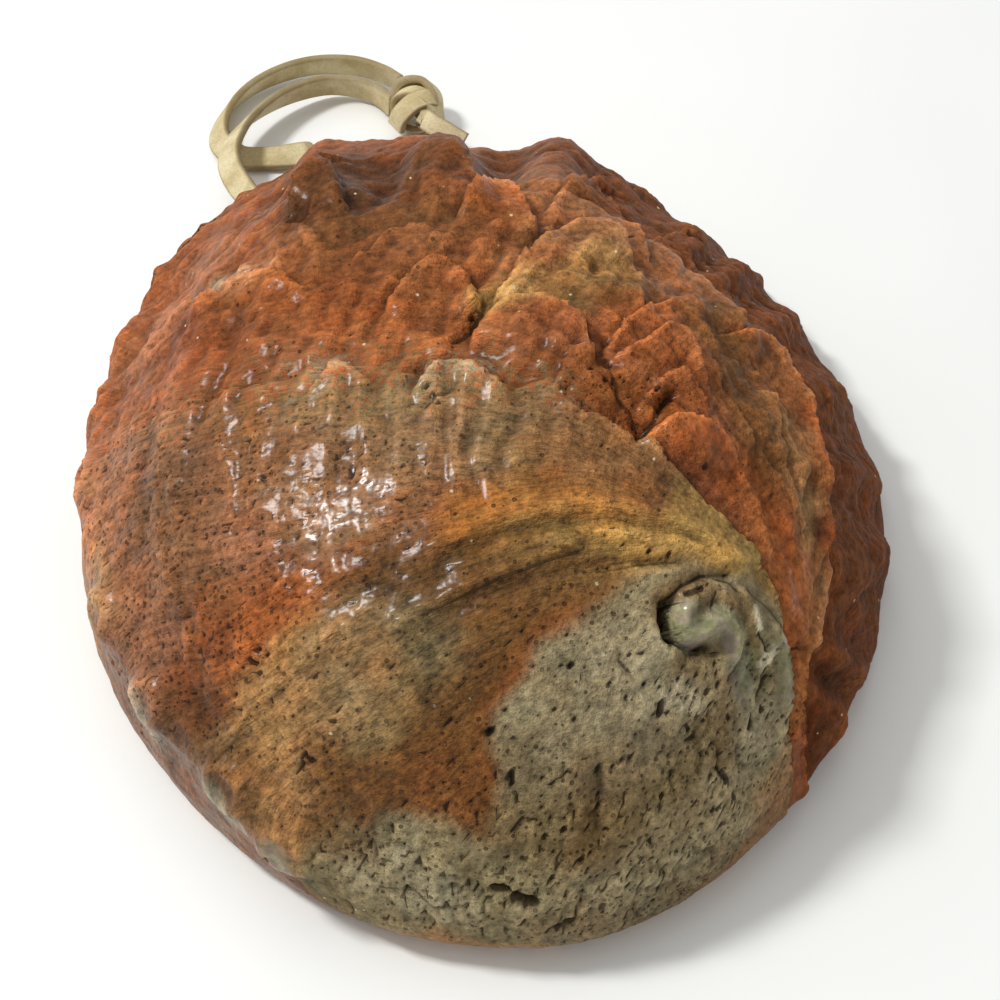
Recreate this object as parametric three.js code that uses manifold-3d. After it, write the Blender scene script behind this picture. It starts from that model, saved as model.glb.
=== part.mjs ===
// An abalone shell lying mouth down, with a leather lace looped through two of its pores.
// Millimetres, +Z up, +Y towards the shell's front edge, +X towards its growing lip.
// The origin is at the middle of the shell's base.
import * as THREE from "three";
import { mergeVertices } from "three/addons/utils/BufferGeometryUtils.js";
import Module from "manifold-3d";

// The dome's highest point, and the outline of the whole shell seen from above.
const SUMMIT = new THREE.Vector3(6, -8, 60);
const OUTLINE = [
  [77, -8], [75.5, 13], [70.5, 33], [62.5, 52], [52, 68], [39, 82], [24, 93], [6, 98], [-13, 100],
  [-30, 98], [-44.5, 89], [-57, 74.5], [-66.5, 54.5], [-73, 31], [-75.2, 7], [-75.5, -16], [-71.5, -36],
  [-63.5, -54.5], [-51.5, -71], [-37.5, -84.5], [-20, -95], [-1, -99.7], [18, -98.5], [35, -90.5],
  [51, -76], [63.5, -57.5], [73, -34],
];

// The dome's side view changes with direction. One value for every 30 degrees, from -180 to 150.
const CROWN_WIDTH = [2.9, 2.9, 2.8, 2.6, 2.5, 2.4, 2.1, 1.8, 1.75, 1.8, 2.1, 2.7];
const WALL_STEEPNESS = [1.7, 1.8, 2.0, 2.1, 2.0, 1.7, 1.35, 1.15, 1.05, 1.08, 1.25, 1.5];
const FOOT_TUCK = [2, 2.5, 3, 4, 4, 2, 0, 0, 0, 0, 0, 1];
const TUCK_HEIGHT = 9;

// The wall, and the flat land that the shell rests on: narrow at the lip, wide at the columella.
const CROWN_THICKNESS = 5;
const LAND_WIDTH = [10, 9, 7, 6, 5, 4.5, 4, 4, 4, 4, 6, 9];
const SHELF_THICKNESS = 3;
const SHELF_SLOPE = 1.5;
const FOOT_THICKNESS = 4;

// The ridge of pores, each as a direction from the summit and a share of the way to the rim.
const PORES = [
  [-114, 0.86], [-122, 0.82], [-136, 0.81], [-150, 0.8], [-172, 0.79], [175, 0.79], [162, 0.8],
  [150, 0.81], [139, 0.83], [126, 0.87], [114, 0.89],
];
const FIRST_OPEN_PORE = 7;
const PORE_RADIUS = 3.4;
const PORE_SIDES = 12;
const PORE_CUT = 12;
const RIDGE_HEIGHT = 2.2;
const RIDGE_WIDTH = 6;
const TUBE_HEIGHT = 2.4;
const TUBE_WIDTH = 5;

// Low knobs: direction, share of the way to the rim, height and width.
const KNOBS = [
  [136, 0.4, 2.5, 9], [109, 0.34, 2.5, 9], [102, 0.18, 2, 8], [82, 0.61, 2.5, 9], [46, 0.21, 2, 7],
  [-76, 0.11, 2.5, 8], [-2, 0.17, 2, 7], [-27, 0.25, 2.5, 7], [-61, 0.22, 2, 6], [-47, 0.36, 3, 7],
];

// The eroded spire, and the scallops of the growing lip.
const SPIRE = { direction: -62, share: 0.56, height: 1.8, width: 10 };
const SCALLOP_HEIGHT = 1.6;
const SCALLOP_COUNT = 40;
const SCALLOP_DIRECTION = 35;
const SCALLOP_START = 0.5;
const SCALLOP_FULL = 0.95;
// The relief dies away towards the rim by this power of the share.
const RIM_FADE = 12;

// The lace, from its short end beside the knot, round the small loop, in at one pore and out at
// the next, then round the large loop and back to the knot.
const LACE_DIAMETER = 3.7;
const LACE_SIDES = 8;
const LACE_STEPS = 72;
const LACE_ROUTE = [
  [-22.8, 116, 4], [-28, 121.5, 4], [-38, 123.5, 4.5], [-47, 118.5, 5.5], [-54, 110, 6.5],
  [-58, 100, 7.5], [-58.5, 90, 8.5], [-54.5, 79, 9.5], [-47, 69.5, 10], [-40, 67, 10], [-35, 73, 9.5],
  [-35.5, 84, 8.5], [-38.5, 93, 6.5], [-42.5, 98.5, 3.2], [-50, 98.5, 2.2], [-58, 99, 2.2],
  [-63, 105, 2.5], [-62, 116, 3], [-55, 126, 3.5], [-44, 132, 3.8], [-33, 132, 4], [-25, 127.5, 4.5],
  [-20.4, 121.8, 5.5],
];
// The part of the route that goes through the shell, and the width of the way cut for it.
const PASSAGE_START = 6;
const PASSAGE_END = 13;
const PASSAGE_RADIUS = 3.1;
const PASSAGE_SIDES = 10;
const PASSAGE_STEPS = 24;
const KNOT = { x: -16.5, y: 112.5, z: 4.8, radius: 4.6, length: 7, turn: 8 };

const ROUND_STEPS = 84;
const DOME_ROWS = 27;
const INSIDE_ROWS = 15;
const LAND_ROWS = 4;
const PROFILE_STEPS = 160;
const OUTLINE_STEPS = 1440;
const NORMAL_STEP = 0.012;
const SUMMIT_SHARE = 0.02;

const SHELL_COLOUR = 0x9a5a3c;
const SHELL_ROUGHNESS = 0.35;
const LEATHER_COLOUR = 0xb7a36f;
const LEATHER_ROUGHNESS = 0.8;

const lerp = THREE.MathUtils.lerp;
const degrees = THREE.MathUtils.degToRad;

// A value given for every 30 degrees, eased from one to the next.
function byDirection(values, angle) {
  const place = ((THREE.MathUtils.radToDeg(angle) + 540) % 360) / 30;
  const low = Math.floor(place) % values.length;
  const part = THREE.MathUtils.smoothstep(place - Math.floor(place), 0, 1);
  return lerp(values[low], values[(low + 1) % values.length], part);
}

// How far the outline is from the summit in each direction.
const outlineCurve = new THREE.CatmullRomCurve3(
  OUTLINE.map(([x, y]) => new THREE.Vector3(x, y, 0)), true, "catmullrom", 0.5,
);
const outlineReach = Array.from({ length: OUTLINE_STEPS }, (_, i) => {
  const point = outlineCurve.getPoint(i / OUTLINE_STEPS);
  const away = [point.x - SUMMIT.x, point.y - SUMMIT.y];
  return { angle: Math.atan2(away[1], away[0]), reach: Math.hypot(away[0], away[1]) };
}).sort((a, b) => a.angle - b.angle);

function reachAt(angle) {
  const wrapped = Math.atan2(Math.sin(angle), Math.cos(angle));
  let high = outlineReach.findIndex((entry) => entry.angle >= wrapped);
  if (high < 1) return outlineReach[0].reach;
  const [a, b] = [outlineReach[high - 1], outlineReach[high]];
  return lerp(a.reach, b.reach, (wrapped - a.angle) / (b.angle - a.angle));
}

// The dome's side view in one direction: distance from the summit's axis, and height.
function profilePoint(angle, turn) {
  const outward = Math.sin(turn) ** (2 / byDirection(CROWN_WIDTH, angle));
  const height = SUMMIT.z * Math.cos(turn) ** (2 / byDirection(WALL_STEEPNESS, angle));
  const tuck = byDirection(FOOT_TUCK, angle) * Math.max(0, 1 - height / TUCK_HEIGHT) ** 2;
  return new THREE.Vector2(reachAt(angle) * outward - tuck, Math.max(height, 0));
}

const profiles = new Map();
function profileAt(angle) {
  const key = angle.toFixed(6);
  if (!profiles.has(key)) {
    const points = [];
    let length = 0;
    for (let i = 0; i <= PROFILE_STEPS; i++) {
      const point = profilePoint(angle, (i / PROFILE_STEPS) * (Math.PI / 2));
      if (i) length += point.distanceTo(points[i - 1].point);
      points.push({ point, length });
    }
    profiles.set(key, points);
  }
  return profiles.get(key);
}

// A point of the smooth dome: share is how much of the way from the summit to the rim it lies.
function domePoint(angle, share) {
  const points = profileAt(angle);
  const wanted = Math.min(Math.max(share, 0), 1) * points.at(-1).length;
  let high = points.findIndex((entry) => entry.length >= wanted);
  if (high < 0) high = points.length - 1;
  high = Math.max(high, 1);
  const [a, b] = [points[high - 1], points[high]];
  const part = (wanted - a.length) / (b.length - a.length || 1);
  const flat = a.point.clone().lerp(b.point, part);
  return new THREE.Vector3(
    SUMMIT.x + flat.x * Math.cos(angle), SUMMIT.y + flat.x * Math.sin(angle), flat.y,
  );
}

function domeNormal(angle, share) {
  const near = Math.max(share, SUMMIT_SHARE);
  const outer = domePoint(angle, Math.min(near + NORMAL_STEP, 1));
  const along = outer.sub(domePoint(angle, near - NORMAL_STEP));
  const around = domePoint(angle + NORMAL_STEP, near).sub(domePoint(angle - NORMAL_STEP, near));
  return along.cross(around).normalize();
}

const porePoints = PORES.map(([direction, share]) => domePoint(degrees(direction), share));
const poreNormals = PORES.map(([direction, share]) => domeNormal(degrees(direction), share));
const knobs = KNOBS.map(([direction, share, height, width]) => (
  { centre: domePoint(degrees(direction), share), height, width }
));
knobs.push({ centre: domePoint(degrees(SPIRE.direction), SPIRE.share), ...SPIRE });

const bell = (distance, width) => Math.exp(-((distance / width) ** 2));

function distanceToRidge(point) {
  let nearest = Infinity;
  for (let i = 1; i < porePoints.length; i++) {
    const segment = new THREE.Line3(porePoints[i - 1], porePoints[i]);
    const closest = segment.closestPointToPoint(point, true, new THREE.Vector3());
    nearest = Math.min(nearest, closest.distanceTo(point));
  }
  return nearest;
}

// How far the outside stands proud of the smooth dome.
function relief(point, angle, share) {
  let height = RIDGE_HEIGHT * bell(distanceToRidge(point), RIDGE_WIDTH);
  for (const pore of porePoints) height += TUBE_HEIGHT * bell(pore.distanceTo(point), TUBE_WIDTH);
  for (const knob of knobs) height += knob.height * bell(knob.centre.distanceTo(point), knob.width);
  const facing = Math.max(0, Math.cos(angle - degrees(SCALLOP_DIRECTION)));
  const lip = facing * THREE.MathUtils.smoothstep(share, SCALLOP_START, SCALLOP_FULL);
  height += SCALLOP_HEIGHT * lip * (0.5 + 0.5 * Math.sin(angle * SCALLOP_COUNT));
  return height;
}

function outsidePoint(angle, share) {
  const point = domePoint(angle, share);
  if (share === 0) return point.setZ(SUMMIT.z + relief(point, angle, share));
  const rise = relief(point, angle, share) * (1 - share ** RIM_FADE);
  point.addScaledVector(domeNormal(angle, share), rise);
  if (share === 1) point.z = 0;
  return point;
}

// The inside follows the dome at the wall's thickness, down to the shelf above the land.
function insidePoint(angle, share) {
  if (share === 0) return new THREE.Vector3(SUMMIT.x, SUMMIT.y, SUMMIT.z - CROWN_THICKNESS);
  const widest = reachAt(angle) - byDirection(FOOT_TUCK, angle) - FOOT_THICKNESS;
  const point = domePoint(angle, share).addScaledVector(domeNormal(angle, share), -CROWN_THICKNESS);
  const reach = Math.min(Math.hypot(point.x - SUMMIT.x, point.y - SUMMIT.y), widest);
  const height = Math.max(point.z, SHELF_THICKNESS + SHELF_SLOPE * (1 - share));
  return new THREE.Vector3(
    SUMMIT.x + reach * Math.cos(angle), SUMMIT.y + reach * Math.sin(angle), height,
  );
}

function landPoint(angle, row) {
  const outer = reachAt(angle) - byDirection(FOOT_TUCK, angle);
  const inner = outer - byDirection(LAND_WIDTH, angle);
  const reach = row === 1 ? lerp(outer, inner, 0.5) : inner;
  const height = row < 3 ? 0 : row === 3 ? SHELF_THICKNESS * 0.5 : SHELF_THICKNESS;
  return new THREE.Vector3(
    SUMMIT.x + reach * Math.cos(angle), SUMMIT.y + reach * Math.sin(angle), height,
  );
}

// A sphere's rows become the outside from the summit down, the land, and the inside back up.
function shellGeometry() {
  const rows = DOME_ROWS + LAND_ROWS + INSIDE_ROWS;
  const geometry = new THREE.SphereGeometry(1, ROUND_STEPS, rows);
  const position = geometry.getAttribute("position");
  for (let row = 0; row <= rows; row++) {
    for (let column = 0; column <= ROUND_STEPS; column++) {
      const angle = ((column % ROUND_STEPS) / ROUND_STEPS) * 2 * Math.PI;
      let point;
      if (row <= DOME_ROWS) point = outsidePoint(angle, row / DOME_ROWS);
      else if (row <= DOME_ROWS + LAND_ROWS) point = landPoint(angle, row - DOME_ROWS);
      else point = insidePoint(angle, (rows - row) / INSIDE_ROWS);
      position.setXYZ(row * (ROUND_STEPS + 1) + column, point.x, point.y, point.z);
    }
  }
  return geometry;
}

const wasm = await Module();
wasm.setup();

function solidFrom(geometry) {
  const bare = geometry.clone();
  bare.deleteAttribute("normal");
  bare.deleteAttribute("uv");
  const merged = mergeVertices(bare, 1e-4);
  return new wasm.Manifold(new wasm.Mesh({
    numProp: 3,
    vertProperties: merged.getAttribute("position").array,
    triVerts: new Uint32Array(merged.index.array),
  }));
}

function geometryFrom(solid) {
  const mesh = solid.getMesh();
  const geometry = new THREE.BufferGeometry();
  geometry.setAttribute("position", new THREE.BufferAttribute(mesh.vertProperties, 3));
  geometry.setIndex(new THREE.BufferAttribute(mesh.triVerts, 1));
  geometry.computeVertexNormals();
  return geometry;
}

function tubeGeometry(points, radius, sides, steps) {
  const section = new THREE.Shape(
    Array.from({ length: sides }, (_, i) => {
      const angle = (2 * Math.PI * i) / sides;
      return new THREE.Vector2(radius * Math.cos(angle), radius * Math.sin(angle));
    }),
  );
  return new THREE.ExtrudeGeometry(section, {
    steps, bevelEnabled: false, extrudePath: new THREE.CatmullRomCurve3(points),
  });
}

const laceRoute = LACE_ROUTE.map((point) => new THREE.Vector3(...point));

function makeShell() {
  let solid = solidFrom(shellGeometry());
  for (let i = FIRST_OPEN_PORE; i < PORES.length - 2; i++) {
    const along = poreNormals[i].clone().multiplyScalar(PORE_CUT);
    const ends = [porePoints[i].clone().add(along), porePoints[i].clone().sub(along)];
    solid = solid.subtract(solidFrom(tubeGeometry(ends, PORE_RADIUS, PORE_SIDES, 1)));
  }
  const through = laceRoute.slice(PASSAGE_START, PASSAGE_END);
  const passage = tubeGeometry(through, PASSAGE_RADIUS, PASSAGE_SIDES, PASSAGE_STEPS);
  return geometryFrom(solid.subtract(solidFrom(passage)));
}

// The knot's outer shape: a short rounded bar lying on its side.
function makeKnot() {
  const geometry = new THREE.CapsuleGeometry(KNOT.radius, KNOT.length, 4, 12);
  geometry.scale(1, 1, 0.95);
  geometry.rotateZ(degrees(KNOT.turn));
  return geometry;
}

function piece(name, geometry, color, roughness) {
  const material = new THREE.MeshStandardMaterial({ color, roughness, metalness: 0 });
  const mesh = new THREE.Mesh(geometry, material);
  mesh.name = name;
  return mesh;
}

const abalone = new THREE.Group();
abalone.add(piece("shell", makeShell(), SHELL_COLOUR, SHELL_ROUGHNESS));
const lace = tubeGeometry(laceRoute, LACE_DIAMETER / 2, LACE_SIDES, LACE_STEPS);
abalone.add(piece("lace", lace, LEATHER_COLOUR, LEATHER_ROUGHNESS));
const knot = piece("lace_knot", makeKnot(), LEATHER_COLOUR, LEATHER_ROUGHNESS);
knot.position.set(KNOT.x, KNOT.y, KNOT.z);
abalone.add(knot);

export default abalone;
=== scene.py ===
# An abalone shell lying mouth down, with a leather lace looped through two of its pores.
# Lengths in the tables are millimetres. Places written as (x, y) pixels are read off a
# 1000 x 1000 photograph and are put on the dome along the camera's rays.
import math

import bmesh
import bpy
import numpy as np
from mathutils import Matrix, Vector, kdtree


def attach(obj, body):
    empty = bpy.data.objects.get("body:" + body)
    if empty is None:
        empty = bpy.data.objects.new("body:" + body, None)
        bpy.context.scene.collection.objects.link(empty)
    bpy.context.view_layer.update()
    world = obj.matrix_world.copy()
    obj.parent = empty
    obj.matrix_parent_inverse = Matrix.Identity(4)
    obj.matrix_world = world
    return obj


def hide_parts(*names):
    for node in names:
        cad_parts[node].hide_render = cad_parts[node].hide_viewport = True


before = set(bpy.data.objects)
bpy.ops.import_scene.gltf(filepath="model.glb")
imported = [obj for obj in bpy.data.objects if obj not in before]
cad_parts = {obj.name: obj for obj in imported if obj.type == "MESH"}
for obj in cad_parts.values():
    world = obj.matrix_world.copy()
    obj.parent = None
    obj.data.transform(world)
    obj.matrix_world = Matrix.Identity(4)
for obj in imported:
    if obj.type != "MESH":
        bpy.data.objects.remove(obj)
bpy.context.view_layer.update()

MM = 0.001


def add_object(name, data):
    made = bpy.data.objects.new(name, data)
    bpy.context.collection.objects.link(made)
    return made


def aim(thing, place, direction):
    """Puts a camera or a light at a place and turns its view along a direction."""
    thing.location = place
    thing.rotation_mode = "QUATERNION"
    thing.rotation_quaternion = direction.to_track_quat("-Z", "Y")


# The camera. The focal length is in widths of the picture, and its side is in pixels.
CAMERA_TARGET = np.array([3.0, -20.5, 20.0])
CAMERA_ELEVATION = math.radians(50)
CAMERA_DISTANCE = 300.0
FOCAL = 1.673
SENSOR = 36.0
PICTURE = 1000.0
CLIP_START = 0.01
CLIP_END = 10.0

back = np.array([0.0, -math.cos(CAMERA_ELEVATION), math.sin(CAMERA_ELEVATION)])
camera_place = CAMERA_TARGET + CAMERA_DISTANCE * back
camera_right = np.array([1.0, 0.0, 0.0])
camera_up = np.cross(back, camera_right)

camera_data = bpy.data.cameras.new("camera")
camera_data.sensor_width = SENSOR
camera_data.lens = FOCAL * SENSOR
camera_data.clip_start = CLIP_START
camera_data.clip_end = CLIP_END
camera = add_object("camera", camera_data)
aim(camera, Vector(camera_place * MM), Vector(-back))
bpy.context.scene.camera = camera


def project(points):
    """Pixels of points in millimetres."""
    ray = points - camera_place
    depth = -(ray @ back)
    across = PICTURE * (0.5 + FOCAL * (ray @ camera_right) / depth)
    down = PICTURE * (0.5 - FOCAL * (ray @ camera_up) / depth)
    return np.stack([across, down], -1)


# Noise and small helpers. Whole numbers are mixed in 32 bits, so every run draws the same.
MIX_X, MIX_Y, MIX_Z, MIX_SEED = 374761393, 668265263, 1440662683, 974634777
MIX_ROUNDS = [(13, 1274126177), (15, 2246822519)]
LAST_SHIFT = 16
ALL_BITS = 0xFFFFFFFF
OCTAVE_SEED = 17
FARTHEST = 1e9
TINY = 1e-6


def lattice(x, y, z, seed):
    """A random number from 0 to 1 for each cell of a lattice."""
    mixed = (x * MIX_X + y * MIX_Y + z * MIX_Z + seed * MIX_SEED) & ALL_BITS
    for shift, factor in MIX_ROUNDS:
        mixed = ((mixed ^ (mixed >> shift)) * factor) & ALL_BITS
    return (mixed ^ (mixed >> LAST_SHIFT)) / (ALL_BITS + 1)


def noise(points, size, seed=0):
    """Smooth noise from -1 to 1 whose lumps are about size across."""
    place = points / size
    cell = np.floor(place).astype(np.int64)
    part = place - cell
    part = part * part * (3 - 2 * part)
    total = 0
    for dx in (0, 1):
        for dy in (0, 1):
            for dz in (0, 1):
                weight = (
                    (part[:, 0] if dx else 1 - part[:, 0])
                    * (part[:, 1] if dy else 1 - part[:, 1])
                    * (part[:, 2] if dz else 1 - part[:, 2])
                )
                total = total + weight * lattice(
                    cell[:, 0] + dx, cell[:, 1] + dy, cell[:, 2] + dz, seed
                )
    return 2 * total - 1


def fractal(points, size, octaves=3, seed=0):
    """Noise with finer and weaker noise added to it."""
    total = 0
    for octave in range(octaves):
        finer = noise(points, size / 2**octave, seed + OCTAVE_SEED * octave)
        total = total + finer / 2**octave
    return total


def smooth(value, low, high):
    """0 below the low bound, 1 above the high one, and an S curve between them."""
    part = np.clip((value - low) / (high - low), 0, 1)
    return part * part * (3 - 2 * part)


def fading(gap, radius, softness):
    """1 out to the radius, falling to 0 over the softness."""
    return 1 - smooth(gap, radius, radius + softness)


def bell(distance, width):
    return np.exp(-((distance / width) ** 2))


# The dome, by the CAD model's own rules. The tables by direction hold a value for every
# 30 degrees, and the first is for -180.
SUMMIT = np.array([6.0, -8.0, 60.0])
OUTLINE = [
    (77, -8), (75.5, 13), (70.5, 33), (62.5, 52), (52, 68), (39, 82), (24, 93), (6, 98), (-13, 100),
    (-30, 98), (-44.5, 89), (-57, 74.5), (-66.5, 54.5), (-73, 31), (-75.2, 7), (-75.5, -16),
    (-71.5, -36), (-63.5, -54.5), (-51.5, -71), (-37.5, -84.5), (-20, -95), (-1, -99.7),
    (18, -98.5), (35, -90.5), (51, -76), (63.5, -57.5), (73, -34),
]
CROWN_WIDTH = [2.9, 2.9, 2.8, 2.6, 2.5, 2.4, 2.1, 1.8, 1.75, 1.8, 2.1, 2.7]
WALL_STEEPNESS = [1.7, 1.8, 2.0, 2.1, 2.0, 1.7, 1.35, 1.15, 1.05, 1.08, 1.25, 1.5]
FOOT_TUCK = [2, 2.5, 3, 4, 4, 2, 0, 0, 0, 0, 0, 1]
TUCK_HEIGHT = 9.0
LAND_WIDTH = [10, 9, 7, 6, 5, 4.5, 4, 4, 4, 4, 6, 9]
CROWN_THICKNESS = 5.0
SHELF_THICKNESS = 3.0
SHELF_SLOPE = 1.5
FOOT_THICKNESS = 4.0
DIRECTIONS = 720
SHARES = 240
TURNS = 160
OUTLINE_STEPS = 1440
FULL_TURN = 360
SECTOR = 30


def by_direction(values, angle):
    """Values of a table by direction, blended between its entries."""
    place = (np.degrees(angle) + 1.5 * FULL_TURN) % FULL_TURN / SECTOR
    low = np.floor(place).astype(int)
    part = smooth(place - low, 0, 1)
    values = np.asarray(values, float)
    count = len(values)
    return values[low % count] * (1 - part) + values[(low + 1) % count] * part


def outline_samples():
    """Angles and distances from the summit's axis along a Catmull-Rom curve."""
    points = np.array(OUTLINE, float)
    count = len(points)
    place = np.arange(OUTLINE_STEPS) / OUTLINE_STEPS * count
    step = place.astype(int)
    part = (place - step)[:, None]
    a, b, c, d = (points[(step + k) % count] for k in (-1, 0, 1, 2))
    curve = 0.5 * (
        2 * b + (c - a) * part
        + (2 * a - 5 * b + 4 * c - d) * part**2
        + (3 * b - a - 3 * c + d) * part**3
    )
    away = curve - SUMMIT[:2]
    angle = np.arctan2(away[:, 1], away[:, 0])
    order = np.argsort(angle)
    return angle[order], np.hypot(away[:, 0], away[:, 1])[order]


outline_angles, outline_reach = outline_samples()


def reach_at(angle):
    return np.interp(angle, outline_angles, outline_reach, period=2 * math.pi)


def profile_tables():
    """Distance from the summit's axis and height, by direction and share of the way down."""
    angle = (np.arange(DIRECTIONS) / DIRECTIONS * 2 - 1) * math.pi
    turn = np.linspace(0, math.pi / 2, TURNS + 1)[None, :]
    width = by_direction(CROWN_WIDTH, angle)[:, None]
    steepness = by_direction(WALL_STEEPNESS, angle)[:, None]
    outward = np.sin(turn) ** (2 / width)
    height = SUMMIT[2] * np.clip(np.cos(turn), 0, 1) ** (2 / steepness)
    tuck = by_direction(FOOT_TUCK, angle)[:, None] * np.clip(1 - height / TUCK_HEIGHT, 0, 1) ** 2
    away = reach_at(angle)[:, None] * outward - tuck
    length = np.hypot(np.diff(away, axis=1), np.diff(height, axis=1)).cumsum(axis=1)
    length = np.concatenate([np.zeros((DIRECTIONS, 1)), length], axis=1)
    wanted = np.linspace(0, 1, SHARES + 1)
    table = np.zeros((2, DIRECTIONS, SHARES + 1))
    for i in range(DIRECTIONS):
        along = wanted * length[i, -1]
        table[0, i] = np.interp(along, length[i], away[i])
        table[1, i] = np.interp(along, length[i], height[i])
    return table


profile_table = profile_tables()


def dome(angle, share):
    """Points of the smooth dome."""
    place = (np.degrees(angle) + FULL_TURN / 2) % FULL_TURN / FULL_TURN * DIRECTIONS
    low = np.floor(place).astype(int)
    part = place - low
    row = np.clip(share, 0, 1) * SHARES
    inner = np.minimum(np.floor(row).astype(int), SHARES - 1)
    beyond = row - inner
    values = 0
    for i, weight_i in ((low, 1 - part), (low + 1, part)):
        for j, weight_j in ((inner, 1 - beyond), (inner + 1, beyond)):
            values = values + weight_i * weight_j * profile_table[:, i % DIRECTIONS, j]
    away, height = values
    return np.stack(
        [SUMMIT[0] + away * np.cos(angle), SUMMIT[1] + away * np.sin(angle), height], -1
    )


# The grids are squares bent onto the disc, with their lines crowded together near the spire.
CROWD_ACROSS = 0.45
CROWD_ALONG = -0.3
CROWD_WIDTH = 0.3
CROWD_GAIN = 0.6
CROWD_SAMPLES = 4001
OUTSIDE_CELLS = 290
INSIDE_CELLS = 100


def crowded_line(count, centre):
    """Numbers from -1 to 1 that lie closer together near the centre given."""
    fine_line = np.linspace(-1, 1, CROWD_SAMPLES)
    density = 1 + CROWD_GAIN * bell(fine_line - centre, CROWD_WIDTH)
    total = np.concatenate([[0], np.cumsum((density[1:] + density[:-1]) / 2)])
    line = np.interp(np.linspace(0, total[-1], count + 1), total, fine_line)
    line[0], line[-1] = -1, 1
    return line


def disc(count):
    """Angle and share of a square grid of count cells a side, bent onto the disc."""
    a, b = np.meshgrid(
        crowded_line(count, CROWD_ACROSS), crowded_line(count, CROWD_ALONG), indexing="ij"
    )
    u = a * np.sqrt(1 - b * b / 2)
    v = b * np.sqrt(1 - a * a / 2)
    share = np.minimum(np.hypot(u, v), 1)
    share[(np.abs(a) == 1) | (np.abs(b) == 1)] = 1
    return np.arctan2(v, u), share


def dome_grid(count):
    """Angle and share of each grid point, and the grids of the dome's points and normals."""
    angle, share = disc(count)
    grid = dome(angle.ravel(), share.ravel()).reshape(*angle.shape, 3)
    normal = np.cross(np.gradient(grid, axis=0), np.gradient(grid, axis=1))
    normal /= np.maximum(np.linalg.norm(normal, axis=-1, keepdims=True), 1e-9)
    # differences fail where the grid's corners meet the rim, so the rim takes its neighbours'
    normal[0], normal[-1] = normal[1], normal[-2]
    normal[:, 0], normal[:, -1] = normal[:, 1], normal[:, -2]
    return angle.ravel(), share.ravel(), grid, normal


angle, share, base_grid, normal_grid = dome_grid(OUTSIDE_CELLS)
base = base_grid.reshape(-1, 3)
normal = normal_grid.reshape(-1, 3)
plan = np.stack([np.cos(angle), np.sin(angle)], -1) * (reach_at(angle) * share)[:, None]
plan = plan + SUMMIT[:2]

seen_at = project(base)
faces_camera = np.einsum("ij,ij->i", normal, camera_place - base) > 0
seen_index = np.flatnonzero(faces_camera)


def on_photo(pixels):
    """Vertices nearest to places given as pixels."""
    found = []
    for x, y in pixels:
        gap = (seen_at[seen_index, 0] - x) ** 2 + (seen_at[seen_index, 1] - y) ** 2
        found.append(seen_index[np.argmin(gap)])
    return np.array(found)


def dome_point(direction, part):
    """The dome's point in a direction, in degrees, at a share of the way down."""
    return dome(np.array([math.radians(direction)]), np.array([float(part)]))[0]


def on_dome(places):
    """Vertices nearest to places given as (direction in degrees, share)."""
    points = [dome_point(direction, part) for direction, part in places]
    return np.array([np.argmin(((base - point) ** 2).sum(1)) for point in points])


def distance_to(point):
    """Distance of every vertex from a point."""
    return np.linalg.norm(base - point, axis=1)


def distance_to_line(line, points=None):
    """Distance from points to a chain of points."""
    points = base if points is None else points
    if len(line) == 1:
        return np.linalg.norm(points - line[0], axis=1)
    nearest = np.full(len(points), FARTHEST)
    for a, b in zip(line[:-1], line[1:]):
        along = b - a
        part = np.clip((points - a) @ along / max(along @ along, 1e-9), 0, 1)
        gap = points - a - part[:, None] * along
        nearest = np.minimum(nearest, (gap * gap).sum(1))
    return np.sqrt(nearest)


def near_pixels(pixels, points=None):
    return distance_to_line(base[on_photo(pixels)], points)


PLATE_SCALE = 100
PLATE_SLACK = 5e-4
PLATE_BATCH = 8192


def plate_kernel(first, second):
    gap = ((first[:, None] - second[None]) ** 2).sum(-1)
    return 0.5 * gap * np.log(np.maximum(gap, 1e-12))


def thin_plate(indices, values):
    """A smooth field over the flattened plan with given values at some vertices."""
    everywhere = plan / PLATE_SCALE
    places = everywhere[indices]
    count = len(indices)
    system = np.zeros((count + 3, count + 3))
    system[:count, :count] = plate_kernel(places, places) + PLATE_SLACK * np.eye(count)
    system[:count, count] = 1
    system[:count, count + 1:] = places
    system[count:, :count] = system[:count, count:].T
    weights = np.linalg.solve(system, np.concatenate([values, np.zeros(3)]))
    field = np.zeros(len(plan))
    for start in range(0, len(plan), PLATE_BATCH):
        part = everywhere[start:start + PLATE_BATCH]
        bent = plate_kernel(part, places) @ weights[:count]
        field[start:start + PLATE_BATCH] = bent + weights[count] + part @ weights[count + 1:]
    return field


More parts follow.
